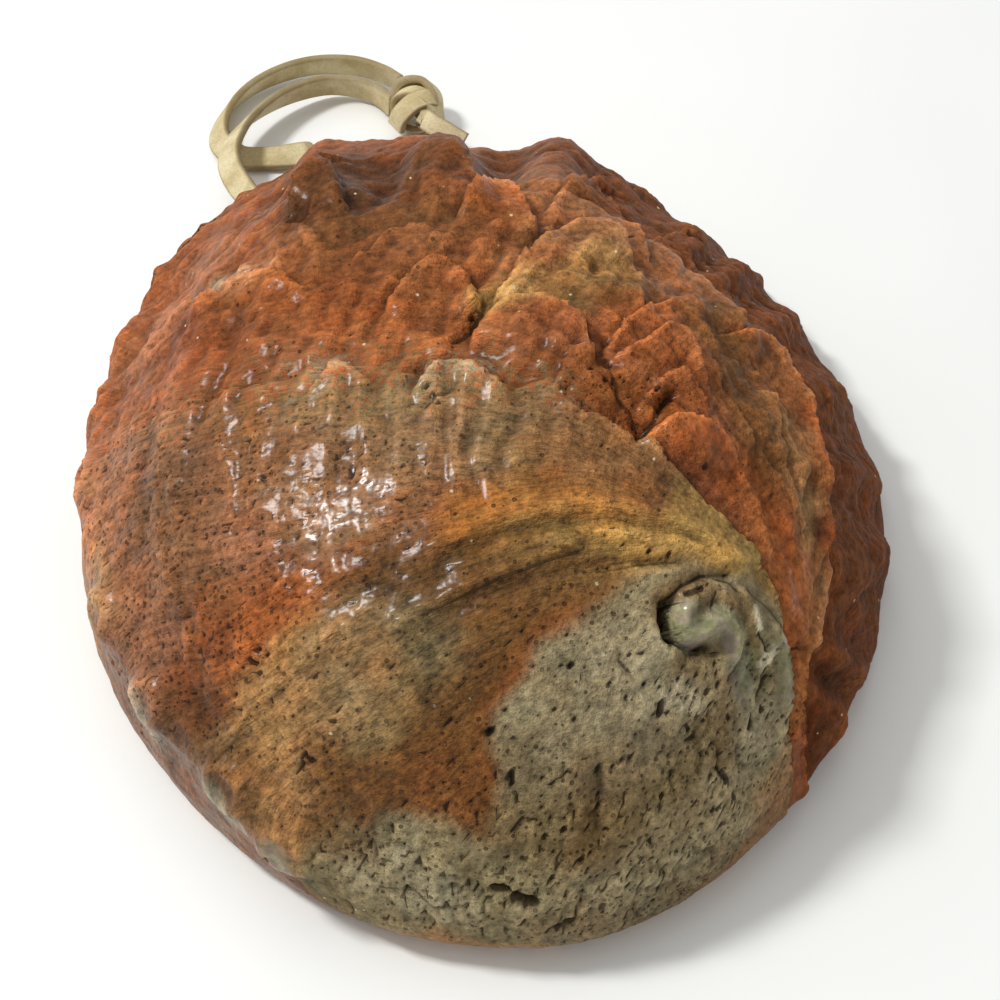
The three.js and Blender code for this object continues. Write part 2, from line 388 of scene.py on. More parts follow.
# Growth. Each line is where the lip once lay, and its age counts up to the lip of today.
GROWTH_LINES = [
    (74, [(160, 330), (215, 275), (280, 240), (350, 215), (420, 200), (490, 190), (550, 195),
          (600, 215), (640, 238), (700, 280), (755, 328), (790, 375), (812, 430), (826, 500),
          (829, 565), (820, 640), (802, 705)]),
    (60, [(120, 400), (165, 350), (230, 310), (300, 290), (380, 280), (450, 280), (520, 285),
          (570, 300), (620, 330), (660, 365), (700, 400), (735, 440), (765, 490), (785, 545),
          (796, 600), (795, 650)]),
    (45, [(93, 460), (133, 427), (200, 400), (253, 383), (327, 368), (375, 372), (427, 363),
          (470, 362), (510, 388), (547, 383), (600, 413), (640, 437), (667, 467), (700, 500),
          (733, 533), (758, 570), (777, 600)]),
    (25, [(150, 690), (210, 660), (270, 620), (330, 585), (400, 560), (450, 545), (520, 520),
          (600, 515), (660, 520), (700, 530), (735, 555), (757, 585)]),
    (20, [(225, 740), (262, 710), (300, 680), (350, 645), (400, 620), (450, 598), (520, 570),
          (580, 560), (640, 555), (690, 558), (722, 572)]),
    (14, [(290, 800), (360, 750), (430, 700), (500, 650), (560, 620), (620, 595), (670, 583)]),
    (8, [(400, 850), (450, 800), (500, 750), (550, 700), (600, 660), (650, 620)]),
    (2, [(520, 900), (560, 840), (600, 780), (640, 720), (670, 670)]),
    (-4, [(640, 900), (660, 850), (690, 790), (710, 730), (720, 680)]),
    (-10, [(740, 840), (745, 800), (750, 750), (750, 700)]),
]
RIM_AGES = [
    (100, -50), (100, -30), (100, 0), (100, 30), (100, 60), (100, 90), (99, 112), (97, 122),
    (90, 134), (80, 147), (70, 158), (60, 170), (50, -177), (45, -165), (34, -143), (25, -129),
    (18, -115), (13, -107), (6, -95), (1, -85), (-4, -75),
]
# spiral cords: lines along which the shell grew, counted from the row of pores to the spire
CORD_LINES = [
    (0, [(290, 852), (230, 790), (152, 710), (108, 612), (92, 475), (130, 345), (162, 262),
         (252, 197)]),
    (1, [(400, 800), (330, 740), (270, 660), (230, 560), (225, 470), (245, 380), (280, 290),
         (330, 190)]),
    (2, [(480, 740), (420, 690), (370, 620), (345, 540), (340, 460), (355, 380), (385, 300),
         (430, 215), (470, 160)]),
    (3, [(560, 700), (510, 650), (470, 590), (450, 520), (450, 440), (465, 370), (500, 300),
         (550, 225), (600, 170)]),
    (4, [(610, 640), (575, 600), (555, 550), (550, 490), (560, 430), (585, 370), (625, 300),
         (680, 235)]),
    (5, [(650, 600), (630, 565), (622, 530), (630, 480), (650, 430), (685, 370), (730, 310),
         (770, 290)]),
    (6, [(680, 580), (680, 555), (690, 520), (710, 480), (740, 430), (790, 390), (830, 370)]),
    (7, [(700, 572), (712, 550), (735, 520), (770, 490), (810, 470), (870, 470)]),
    (8, [(725, 577), (745, 565), (775, 560), (810, 560), (880, 560)]),
    (9, [(755, 600), (775, 610), (805, 640), (850, 680)]),
    (10, [(778, 640), (790, 680), (800, 740)]),
]
RIM_CORDS = [
    (-1.2, -114), (-1.2, -130), (-1.2, -150), (-1.2, 180), (-1.2, 160), (-1.2, 140), (-1.0, 126),
    (0, 110), (1, 99), (2, 87), (3, 74), (4, 60), (5, 45), (6, 27), (7, 5), (8, -10), (9, -30),
    (10, -45), (4, -75), (1, -95),
]


def field_from(lines, rim):
    """A field through values drawn along lines in the picture and given round the rim."""
    indices, values = [], []
    for value, pixels in lines:
        found = on_photo(pixels)
        indices.extend(found)
        values.extend([value] * len(found))
    found = on_dome([(direction, 1.0) for _, direction in rim])
    indices.extend(found)
    values.extend([value for value, _ in rim])
    indices, first = np.unique(np.array(indices), return_index=True)
    return thin_plate(indices, np.array(values)[first])


age = field_from(GROWTH_LINES, RIM_AGES)
cords = field_from(CORD_LINES, RIM_CORDS)

# the coiled body of the spire, which the bands of growth don't cross
SPIRE_BODY = [(700, 630), (735, 650), (755, 690), (750, 740), (735, 780)]
SPIRE_RADIUS = 9
SPIRE_FADE = 3
spire_inside = fading(near_pixels(SPIRE_BODY), SPIRE_RADIUS, SPIRE_FADE)

# The row of pores, from the oldest to the youngest: direction and share of each
PORES = [
    (-114, 0.86), (-122, 0.82), (-136, 0.81), (-150, 0.8), (-172, 0.79), (175, 0.79), (162, 0.8),
    (150, 0.81), (139, 0.83), (126, 0.87), (114, 0.89),
]
FIRST_OPEN_PORE = 7
PORE_RADIUS = 3.2
RIDGE_HEIGHT = 2.2
RIDGE_WIDTH = 6.0
TUBE_HEIGHT = 2.4
TUBE_WIDTH = 5.0
OPEN_TUBE_HEIGHT = 0.7

pore_index = on_dome(PORES)
pore_points = dome(np.radians([p[0] for p in PORES]), np.array([p[1] for p in PORES], float))
pore_normals = normal[pore_index]

# Relief. Each rise is in millimetres along the dome's normal.
# knobs of the margin: direction, share, rise, width
KNOBS = [
    (136, 0.4, 2.5, 9), (109, 0.34, 2.5, 9), (102, 0.18, 2, 8), (82, 0.61, 2.5, 9),
    (46, 0.21, 2, 7), (-76, 0.11, 2.5, 8), (-2, 0.17, 2, 7), (-27, 0.25, 2.5, 7),
    (-61, 0.22, 2, 6), (-47, 0.36, 3, 7), (-62, 0.56, 1.8, 10),
]
# ribs that end in the bumps of the far margin and the lip: place among the cords, and width
RIBS = [
    (3.3, 0.2), (4.1, 0.22), (4.7, 0.18), (5.4, 0.2),
    (6.2, 0.22), (7.0, 0.24), (8.0, 0.26), (8.9, 0.24), (9.7, 0.22),
]
RIB_HEIGHT = 2.4
RIB_BASE = 0.6

# the wander of drawn lines, and unevenness in two sizes
WARP_SIZE = 9
WARP = 1.6
FINE_WARP = 0.5
CRACK_WARP = 0.15
warp = np.stack([fractal(base, WARP_SIZE, 3, seed) for seed in (1, 2, 3)], -1)
warped = base + WARP * warp
finely_warped = base + FINE_WARP * warp
rough = fractal(base, 7, 4, 11)
fine = fractal(base, 2.6, 2, 23)


def painted(strokes, points):
    """A field of drawn strokes: strength, radius, softness, line."""
    total = np.zeros(len(base))
    for strength, radius, softness, pixels in strokes:
        gap = near_pixels(pixels, points)
        total = np.maximum(total, strength * fading(gap, radius, softness))
    return total


def side_of_line(pixels, points):
    """Distance to a drawn line, its side (1 beyond it, -1 behind), and the way past its ends."""
    line = base[on_photo(pixels)]
    nearest = np.full(len(points), FARTHEST)
    side = np.ones(len(points))
    past = np.zeros(len(points))
    for k, (a, b) in enumerate(zip(line[:-1], line[1:])):
        along = b - a
        length = max(np.linalg.norm(along), TINY)
        part = (points - a) @ along / length**2
        gap = points - a - np.clip(part, 0, 1)[:, None] * along
        reach = (gap * gap).sum(1)
        closer = reach < nearest
        nearest[closer] = reach[closer]
        across = np.einsum("ij,ij->i", np.cross(along, gap), normal)
        side[closer] = np.sign(across)[closer]
        over = np.zeros(len(points))
        if k == 0:
            over = np.maximum(over, -part * length)
        if k == len(line) - 2:
            over = np.maximum(over, (part - 1) * length)
        past[closer] = over[closer]
    return np.sqrt(nearest), side, past


def roughened(value, *terms, points=base):
    """A field with noises added to it: amount, size and seed of each."""
    for amount, size, seed in terms:
        value = value + amount * noise(points, size, seed)
    return value


# the rest mark, where growth stopped for a while, and the last band, which starts at a crest
REST_AGE = 45
CREST_AGE = 74
BAND_START = 73.6
BAND_FULL = 74.6
EDGE_SOFTNESS = 0.5
LEFT_SOFTNESS = 6.0
EDGE_LIMIT = 4
RIGHT_WAY = math.radians(5)
RIGHT_STEP = (0.1, 0.6)
LEFT_CORDS = (2.6, 5.0)
RIB_AGES = (46, 80)
EARLY_RIB_AGES = (46, 60)
LATE_RIB_AGES = (70, 86)
RIB_CORDS = (0.2, 0.8)
HORIZON = 0.12
WELL_IN_VIEW = 0.3
ragged_age = roughened(age, (1.3, 8, 91), (0.8, 3.2, 92))
newer = smooth(ragged_age, REST_AGE - 0.5, REST_AGE + 0.5)
outer_band = smooth(roughened(age, (0.8, 5, 8)), BAND_START, BAND_FULL) * (1 - spire_inside)
right_side = smooth(np.cos(angle - RIGHT_WAY), *RIGHT_STEP)
left_side = 1 - smooth(cords, *LEFT_CORDS)
edge = (ragged_age - REST_AGE) / (EDGE_SOFTNESS + LEFT_SOFTNESS * left_side)
edge = np.clip(edge, -EDGE_LIMIT, EDGE_LIMIT)
view_way = camera_place - base
view_way /= np.linalg.norm(view_way, axis=1, keepdims=True)
in_view = smooth(np.einsum("ij,ij->i", normal, view_way), HORIZON, WELL_IN_VIEW)

height = RIDGE_HEIGHT * bell(distance_to_line(pore_points), RIDGE_WIDTH)
for number, point in enumerate(pore_points):
    rise = TUBE_HEIGHT if number < FIRST_OPEN_PORE else OPEN_TUBE_HEIGHT
    height += rise * bell(distance_to(point), TUBE_WIDTH)
for direction, part, rise, width in KNOBS:
    height += rise * bell(distance_to(dome_point(direction, part)), width)
rib = np.zeros(len(base))
for place, width in RIBS:
    rib = np.maximum(rib, bell(roughened(cords, (0.12, 12, 5)) - place, width))
rib *= smooth(age, *RIB_AGES) * smooth(cords, *RIB_CORDS) * (1 - spire_inside)
rib_growth = 0.25 * smooth(age, *EARLY_RIB_AGES) + 0.75 * smooth(age, *LATE_RIB_AGES)
height += RIB_HEIGHT * (rib - RIB_BASE) * rib_growth


LEAST_STEP = 0.05


def change_per_mm(values):
    """How fast a field changes over the surface."""
    slopes = []
    for axis in (0, 1):
        step = np.linalg.norm(np.gradient(base_grid, axis=axis), axis=-1)
        change = np.gradient(values.reshape(base_grid.shape[:2]), axis=axis)
        slopes.append(change / np.maximum(step, LEAST_STEP))
    return np.hypot(*slopes).ravel()


# the layers are thin where they crowd together
CROWDING_GAIN = 1.3
THINNEST = 0.18
THICKEST = 1.3
crowding = 1 / np.maximum(CROWDING_GAIN * change_per_mm(age), 0.3)
crowding = np.clip(crowding, THINNEST, THICKEST)

# growth ridges: overlapping layers, each with a low edge towards the lip.
# spacing in age, rise, seed
LAYERS = [(8.5, 1.3, 4), (4.3, 0.6, 1), (2.1, 0.28, 2), (1.15, 0.1, 3)]
LAYER_EDGE = 0.86
LAYER_BASE = 0.4
RIB_WAVE = 2.6
layered = (0.25 + 0.75 * newer) * (1 - 0.6 * left_side)
wavy_age = age - RIB_WAVE * rib + 1.6 * noise(base, 9, 31) * newer
for spacing, rise, seed in LAYERS:
    phase = roughened(wavy_age / spacing, (0.35, 16, 40 + seed))
    tooth = phase - np.floor(phase)
    strength = np.clip(roughened(0.55, (0.45, 12, 50 + seed)), 0, 1)
    profile = tooth * (1 - smooth(tooth, LAYER_EDGE, 1.0)) - LAYER_BASE
    height += rise * profile * strength * layered * crowding

# wrinkles along the spiral cords, strongest on the upper left and just below the rest mark
WRINKLED = [
    (0.75, 14, 26, [(150, 340), (230, 320), (330, 320), (430, 320)]),
    (0.9, 9, 10, [(160, 440), (200, 420), (280, 420), (360, 410), (480, 410)]),
    (0.5, 12, 20, [(330, 220), (450, 230), (540, 280)]),
]
WRINKLES_PER_CORD = 3.2
THREADS_PER_CORD = 8.0
LEAST_WRINKLE = 0.07
MOST_WRINKLE = 0.52
THREAD_HEIGHT = 0.05
wrinkled = painted(WRINKLED, base)
wrinkle_phase = roughened(cords * WRINKLES_PER_CORD, (0.45, 14, 61), (0.2, 6, 64))
wrinkle = np.cos(2 * math.pi * wrinkle_phase) + 0.4 * np.cos(4.6 * math.pi * wrinkle_phase)
patchy = np.clip(roughened(0.65, (0.7, 11, 62)), 0.1, 1.3)
height += wrinkle * (LEAST_WRINKLE + MOST_WRINKLE * wrinkled) * patchy
thread_phase = roughened(cords * THREADS_PER_CORD, (0.5, 8, 63))
height += THREAD_HEIGHT * np.cos(2 * math.pi * thread_phase)

# the rest mark: the older shell ends in a ragged edge, and the newer one starts below it
REST_DROP = 1.5
REST_REACH = 5.0
REST_LIP = 0.5
REST_LIP_AGE = 43.8
REST_LIP_WIDTH = 1.3
LEFT_LOSS = 0.8
past_rest = np.clip(ragged_age - REST_AGE, 0, None)
height -= REST_DROP * newer * np.exp(-past_rest / REST_REACH) * (1 - LEFT_LOSS * left_side)
height += REST_LIP * bell(ragged_age - REST_LIP_AGE, REST_LIP_WIDTH) * (1 - LEFT_LOSS * left_side)
# the last band starts below the crest
CREST_DROP = 1.6
CREST_REACH = 9.0
CREST_LIP = 0.8
CREST_LIP_AGE = 73
CREST_LIP_WIDTH = 1.6
past_crest = np.clip(age - CREST_AGE, 0, None)
height -= CREST_DROP * outer_band * np.exp(-past_crest / CREST_REACH) * (0.3 + 0.7 * right_side)
height += CREST_LIP * bell(age - CREST_LIP_AGE, CREST_LIP_WIDTH) * right_side

height += (0.4 + 0.3 * newer) * rough + (0.18 + 0.14 * newer) * fine

# arches: lobes of older layers that end in a raised edge over what grew later.
# rise, how far back it fades, line along the edge
ARCHES = [
    (2.7, 7, [(472, 336), (483, 323), (509, 310), (540, 305), (566, 312), (581, 327), (591, 354)]),
    (2.0, 6, [(388, 300), (402, 280), (425, 262), (447, 258), (466, 272), (474, 300)]),
    (1.9, 5, [(624, 358), (635, 352), (661, 339), (679, 345), (690, 364), (700, 376)]),
    (2.3, 6, [(610, 345), (620, 328), (644, 313), (668, 303), (692, 317), (710, 345)]),
    (2.3, 7, [(498, 292), (516, 262), (548, 237), (574, 231), (600, 234), (618, 243), (630, 264)]),
    (2.7, 5, [(462, 212), (476, 194), (497, 189), (517, 200), (532, 228)]),
    (2.4, 5, [(296, 206), (306, 184), (322, 170), (338, 180), (346, 204)]),
    (1.6, 5, [(402, 186), (416, 163), (438, 150), (460, 158), (474, 182)]),
    (1.6, 6, [(545, 212), (566, 186), (594, 178), (612, 198), (635, 234), (648, 260)]),
    (1.4, 5, [(655, 236), (680, 231), (705, 256), (727, 277), (738, 303), (744, 328)]),
    (1.1, 4, [(712, 368), (722, 390), (740, 412), (750, 446)]),
    (1.8, 4, [(655, 432), (672, 424), (690, 427), (713, 443), (731, 466), (750, 500), (764, 545)]),
    (1.9, 4, [(735, 332), (766, 340), (783, 362), (795, 390), (806, 414), (812, 443), (821, 469),
              (829, 503), (822, 547)]),
    (1.6, 4, [(205, 302), (222, 286), (248, 274), (278, 270), (300, 286)]),
    (1.2, 5, [(146, 350), (160, 322), (186, 300), (212, 292)]),
    (1.2, 4, [(312, 384), (328, 366), (346, 362), (364, 374)]),
    (1.6, 4, [(420, 378), (436, 364), (458, 360), (480, 366), (498, 380)]),
    (0.9, 4, [(228, 396), (238, 388), (256, 383), (266, 392)]),
    (1.2, 4, [(555, 388), (568, 360), (590, 356), (604, 372), (610, 392)]),
    (1.1, 4, [(640, 402), (655, 380), (675, 374), (692, 386), (700, 402)]),
    (0.9, 4, [(360, 250), (385, 232), (415, 226), (440, 236)]),
    (0.9, 4, [(250, 232), (275, 220), (305, 222), (322, 238)]),
    (1.1, 4, [(755, 370), (768, 392), (778, 430), (786, 470), (798, 520)]),
]
ARCH_FADE = 5.0
ARCH_DIP = 0.4
ARCH_DIP_REACH = 2.5
ARCH_STEP = 0.5
# a line of painted shade at an arch's foot: how far out, half width, strength, and the rise it
# counts to
ARCH_SHADE_AT = 0.45
ARCH_SHADE_WIDTH = 0.35
ARCH_SHADE_STRENGTH = 0.22
ARCH_SHADE_RISE = 1.5
# cracks, drawn by the material as sharp lines of painted shade: half width, strength, line
CRACKS = [
    (0.55, 1.0, [(672, 600), (668, 608), (667, 618), (669, 630), (674, 640)]),
    (0.3, 1.0, [(674, 640), (684, 649), (694, 651), (704, 650)]),
    (0.2, 0.9, [(672, 598), (679, 588), (688, 581), (701, 577), (714, 575), (725, 577)]),
    (0.24, 0.95, [(739, 655), (736, 668), (728, 682)]),
    (0.14, 0.7, [(708, 592), (704, 606)]),
    (0.14, 0.6, [(714, 581), (725, 583), (729, 591)]),
    (0.22, 0.8, [(752, 634), (762, 640), (767, 651)]),
    (0.3, 0.75, [(769, 676), (765, 688), (760, 699)]),
    (0.13, 0.5, [(743, 590), (769, 611), (784, 635), (795, 663), (794, 689), (786, 726)]),
    (0.16, 0.8, [(793, 648), (805, 648)]),
    (0.4, 0.6, [(455, 336), (462, 328), (470, 322), (482, 310)]),
    (0.3, 0.25, [(452, 316), (466, 306), (474, 298)]),
    (0.3, 0.8, [(638, 438), (650, 424), (660, 410), (668, 398)]),
    (0.2, 0.6, [(604, 384), (616, 398), (630, 410), (640, 424)]),
    (0.18, 0.6, [(620, 659), (626, 664), (630, 672)]),
    (0.16, 0.5, [(564, 764), (562, 778)]),
    (0.3, 0.25, [(600, 764), (602, 790), (598, 830)]),
    (0.2, 0.4, [(380, 891), (413, 891), (436, 908), (463, 908)]),
    (0.2, 0.25, [(252, 704), (238, 738), (227, 758)]),
    (0.18, 0.5, [(420, 612), (450, 601), (500, 579), (545, 560), (580, 553)]),
    (0.15, 0.4, [(600, 571), (640, 566), (675, 563)]),
    (0.2, 0.6, [(425, 404), (436, 396), (447, 392)]),
]
CRACK_REACH = 8.0
CRACK_DEPTH = 1.6
CRACK_WIDTH = 0.75
USUAL_HALF_WIDTH = 0.3
CRACK_CLEARING = 1.2
nearest_crack = np.full(len(base), FARTHEST)
crack = np.full(len(base), CRACK_REACH)
crack_shade_on = np.zeros(len(base))


def add_crack(gap, signed, past, half_width, strength):
    """Keeps, at each vertex, the nearest crack's distance in half widths, and how strong its painted
    shade is.
    """
    closer = gap < nearest_crack
    nearest_crack[closer] = gap[closer]
    crack[closer] = np.clip(signed / half_width, -CRACK_REACH, CRACK_REACH)[closer]
    near = (1 - smooth(gap, 1.0, 1.8)) * (1 - smooth(past, 0.1, 0.9))
    crack_shade_on[closer] = (strength * near)[closer]


for rise, reach, pixels in ARCHES:
    gap, side, past = side_of_line(pixels, finely_warped)
    signed = gap * side
    behind = rise * np.exp(-gap / reach)
    before = -ARCH_DIP * rise * np.exp(-gap / ARCH_DIP_REACH)
    step = smooth(signed, -ARCH_STEP, ARCH_STEP)
    height += (1 - smooth(past, 0, ARCH_FADE)) * (behind * (1 - step) + before * step)
    # painted shade along the arch's foot, weaker where the surface turns from the camera
    arch_shade = ARCH_SHADE_STRENGTH * min(rise, ARCH_SHADE_RISE) * in_view
    beyond = signed - ARCH_SHADE_AT
    add_crack(np.abs(beyond), beyond, past + 1.0, ARCH_SHADE_WIDTH, arch_shade)
for half_width, strength, pixels in CRACKS:
    gap, side, past = side_of_line(pixels, base + CRACK_WARP * warp)
    nearest_crack[gap < CRACK_CLEARING] = FARTHEST
    add_crack(gap, gap * side, past, half_width, strength)
    height -= CRACK_DEPTH * half_width / USUAL_HALF_WIDTH * bell(gap, CRACK_WIDTH) * strength

# ridges and grooves that the photograph shows: rise, half width, line
FEATURES = [
    (3.4, 6.0, [(322, 190), (320, 148)]),
    (3.0, 7.0, [(440, 185), (442, 142)]),
    (3.6, 7.0, [(558, 190), (561, 148)]),
    (-3.0, 6.0, [(385, 175), (385, 158)]),
    (-3.0, 6.0, [(505, 175), (508, 156)]),
    (-2.2, 5.0, [(600, 195), (612, 183)]),
    (-2.5, 6.0, [(245, 205), (265, 190)]),
    (1.5, 4.0, [(210, 222), (185, 245), (170, 262)]),
    (-1.6, 3.0, [(160, 290), (172, 288)]),
    (-0.9, 3.0, [(455, 325), (475, 315)]),
    (-1.0, 2.5, [(600, 375), (640, 425), (665, 400)]),
    (1.1, 1.4, [(400, 622), (450, 597), (500, 574), (545, 555), (575, 550)]),
    (0.9, 1.5, [(430, 545), (500, 520), (580, 505), (650, 512), (700, 532), (738, 560)]),
    (-0.7, 1.0, [(440, 560), (510, 535), (590, 520), (660, 525), (705, 545)]),
    (0.7, 1.2, [(470, 562), (540, 540), (610, 532), (680, 540), (722, 560)]),
    (-0.7, 0.9, [(450, 608), (500, 586), (560, 570), (620, 562), (680, 560)]),
    (-0.5, 1.1, [(340, 640), (310, 668), (265, 708), (235, 748)]),
    (0.8, 2.0, [(345, 632), (312, 658), (268, 698), (240, 735)]),
    (-0.9, 1.3, [(252, 645), (262, 655), (255, 668)]),
    (1.0, 4.0, [(665, 432), (690, 445), (715, 462)]),
    # the spire
    (-2.6, 1.1, [(669, 606), (667, 618), (671, 636)]),
    (0.9, 2.6, [(684, 612), (690, 632), (712, 628), (728, 645)]),
    (1.1, 0.9, [(700, 630), (706, 626), (713, 625), (721, 629), (727, 637), (729, 648), (728, 662)]),
    (0.9, 0.9, [(688, 598), (681, 612), (682, 626), (690, 637), (698, 636)]),
    (-0.6, 0.7, [(697, 606), (692, 618), (698, 626)]),
    (-1.4, 0.8, [(700, 648), (706, 648)]),
    (-0.8, 0.8, [(690, 658), (704, 660), (716, 650), (715, 640)]),
    (0.5, 0.9, [(711, 655), (720, 668), (722, 684)]),
    (0.9, 1.6, [(738, 600), (745, 625), (756, 645)]),
    (-0.6, 0.8, [(733, 606), (738, 625), (742, 645)]),
    (-0.6, 1.5, [(743, 650), (748, 672), (742, 690)]),
    (1.3, 1.5, [(772, 630), (783, 660), (783, 690), (777, 730)]),
    (-1.0, 1.0, [(784, 630), (796, 660), (795, 692), (787, 735)]),
    (-0.7, 1.2, [(797, 652), (801, 662), (799, 678)]),
    (0.5, 1.0, [(690, 590), (697, 600), (716, 596), (726, 604)]),
    (-0.7, 1.5, [(600, 775), (603, 805), (597, 845)]),
]
for rise, width, pixels in FEATURES:
    height += rise * bell(near_pixels(pixels, finely_warped), width)

# spongy knobs above the rest mark, and chalky lumps
LUMPY = [
    (0.9, 3, 3, [(565, 372), (590, 378), (620, 405), (660, 410), (690, 402)]),
    (0.5, 4, 4, [(235, 290), (290, 290)]),
    (0.35, 6, 8, [(120, 500), (180, 560), (220, 600), (190, 640)]),
    (0.5, 3, 3, [(430, 395), (445, 400)]),
]
LUMP_HEIGHT = 0.9
height += LUMP_HEIGHT * painted(LUMPY, warped) * noise(base, 2.1, 74)
lumps = roughened(0, (0.35, 4.2, 75), (0.22, 2.0, 76))
height += newer * lumps * (1 - right_side)

# where borers drilled round pits, and where the shell has weathered to chalk
BORED = [
    (1.0, 12, 8, [(120, 490), (150, 520), (190, 560), (220, 600), (190, 640), (150, 660)]),
    (0.9, 6, 7, [(230, 480), (280, 500), (340, 480), (390, 490)]),
    (0.8, 5, 6, [(280, 530), (320, 560), (360, 560)]),
    (0.5, 6, 8, [(110, 450), (150, 450), (230, 450), (330, 440)]),
    (1.0, 5, 5, [(318, 780), (335, 810), (345, 845)]),
    (0.7, 6, 6, [(240, 660), (230, 700), (200, 720)]),
    (0.45, 8, 12, [(350, 620), (330, 690), (420, 680), (520, 640), (600, 600)]),
    (0.35, 10, 12, [(400, 780), (460, 800), (500, 720), (380, 740)]),
    (0.5, 5, 5, [(590, 590), (560, 620), (640, 600)]),
    (0.8, 9, 7, [(740, 740), (725, 780), (690, 830), (640, 870)]),
    (0.75, 8, 6, [(760, 720), (750, 770), (730, 800), (680, 860), (600, 900)]),
    (0.85, 7, 8, [(500, 800), (560, 820), (620, 830), (680, 780)]),
    (1.0, 7, 7, [(420, 890), (500, 900), (580, 890), (650, 880)]),
    (0.8, 4, 4, [(600, 395), (640, 410), (670, 410)]),
    (0.14, 16, 16, [(300, 420), (430, 430), (560, 440), (640, 490)]),
    (0.25, 4, 5, [(225, 285), (290, 300), (260, 400)]),
    (0.9, 3, 2, [(675, 700), (690, 712), (695, 695)]),
    (0.07, 12, 12, [(300, 230), (200, 350), (420, 300)]),
]
bored = painted(BORED, warped)
ERODED = [
    (1.0, 6, 5, [(340, 885), (400, 880), (470, 905), (540, 915), (620, 905), (700, 860)]),
    (0.9, 6, 6, [(560, 850), (640, 850), (710, 800), (745, 760)]),
    (0.5, 6, 6, [(720, 700), (760, 700), (770, 750)]),
    (0.5, 4, 5, [(380, 850), (430, 850)]),
    (0.35, 5, 5, [(520, 790), (560, 810)]),
]
eroded = painted(ERODED, warped)
# the winding tracks of worms in the eroded part
WORM_DEPTH = 0.8
WORM_WARP = 1.5
WORM_STEP = (0.02, 0.16)
WORM_PATCHES = (-0.3, 0.3)
worm = 1 - smooth(np.abs(noise(base + WORM_WARP * warp, 3.6, 71)), *WORM_STEP)
worm *= smooth(noise(base, 8, 72), *WORM_PATCHES) * eroded
height -= WORM_DEPTH * worm
height += 0.3 * eroded * noise(base, 2.2, 73)

# single pits and slots: radius, depth, line
PITS = [
    (1.05, 2.6, [(490, 733)]), (0.85, 1.6, [(662, 702), (662, 713)]), (0.9, 1.6, [(573, 667)]),
    (1.2, 2.2, [(496, 891), (504, 889)]), (1.5, 2.4, [(518, 899), (531, 906)]),
    (0.9, 1.8, [(557, 930), (573, 923)]), (0.7, 1.2, [(549, 880)]), (0.7, 1.2, [(627, 887)]),
    (0.65, 1.2, [(511, 776), (511, 786)]), (0.6, 1.0, [(599, 808)]), (0.6, 1.0, [(601, 767)]),
    (0.7, 1.0, [(562, 832)]), (0.6, 1.0, [(581, 861)]), (0.65, 1.0, [(651, 841)]),
    (0.6, 0.9, [(662, 794)]), (0.8, 1.3, [(722, 772), (727, 780)]), (0.7, 1.2, [(711, 808)]),
    (0.7, 1.2, [(763, 711)]), (0.75, 1.3, [(754, 722), (753, 728)]), (0.55, 0.8, [(668, 553)]),
    (0.7, 1.2, [(684, 596), (695, 590)]), (0.7, 1.2, [(702, 650)]), (0.5, 0.7, [(612, 684)]),
    (0.5, 0.7, [(646, 683)]), (0.5, 0.7, [(631, 655)]), (0.5, 0.8, [(692, 742)]),
    (0.55, 0.8, [(687, 729)]), (0.5, 0.7, [(575, 719)]), (0.5, 0.7, [(553, 710)]),
    (0.6, 1.0, [(650, 552)]), (0.8, 1.3, [(255, 648)]), (0.7, 1.1, [(262, 656)]),
    (0.6, 1.0, [(254, 663)]), (0.65, 1.0, [(259, 671)]), (0.6, 0.9, [(247, 658)]),
    (0.7, 1.2, [(303, 755)]), (0.65, 1.1, [(310, 760)]), (0.55, 0.9, [(304, 764)]),
    (0.8, 1.3, [(141, 694)]), (0.6, 1.0, [(277, 848)]), (0.5, 0.8, [(392, 830)]),
    (0.6, 0.8, [(447, 722)]), (0.5, 0.8, [(333, 722)]), (0.6, 0.9, [(444, 808)]),
    (0.8, 1.0, [(619, 240), (628, 243)]), (0.8, 1.2, [(590, 376)]), (0.7, 1.2, [(603, 386)]),
    (0.7, 1.2, [(655, 392)]), (0.8, 1.2, [(645, 432)]), (0.6, 1.0, [(662, 404)]),
    (0.7, 1.1, [(462, 332)]), (0.8, 1.3, [(468, 312)]), (0.7, 1.0, [(430, 396)]),
    (0.6, 1.0, [(438, 402)]), (0.6, 1.0, [(425, 388)]), (0.8, 0.8, [(700, 470)]),
    (0.8, 1.1, [(262, 478)]), (0.9, 1.1, [(352, 466), (348, 472)]), (0.6, 0.8, [(615, 276)]),
]
PIT_CELL = 1.8
PIT_SHARE = 0.6
PIT_POWER = 1.3
SLOT_CELL = 2.3
SLOT_SHARE = 0.4
SLOT_LEAN = np.array([0.25, 0.3, -1.0])
SLOT_TURN = np.array([1.0, 0.2, 0.0])
SLOT_TURN_RANGE = 2.2
# sizes of scattered pits and slots: the least, and what a draw adds to it
PIT_RADIUS = (0.05, 0.24)
PIT_DEPTH = (0.3, 0.5)
SLOT_LENGTH = (0.3, 1.2)
SLOT_RADIUS = (0.06, 0.16)
SLOT_DEPTH = 0.6
LEAST_SPREAD = 0.7
HAND_PIT_SCALE = 0.72
STEPS_PER_PIT = 5
STEPS_PER_SLOT = 3
vertex_tree = kdtree.KDTree(len(base))
for number, point in enumerate(base.tolist()):
    vertex_tree.insert(point, number)
vertex_tree.balance()
pit_field = np.full(len(base), -1.0)
pit_depth = np.zeros(len(base))


def sink_pit(centre, radius, depth):
    """A round pit. Its field falls through 0 at the edge, over at least one cell of the mesh."""
    spread = max(radius, LEAST_SPREAD)
    for _, index, gap in vertex_tree.find_range(centre, radius + spread):
        inside = (radius - gap) / spread
        pit_field[index] = max(pit_field[index], inside)
        pit_depth[index] = max(pit_depth[index], depth * min(max(inside + 0.3, 0), 1))


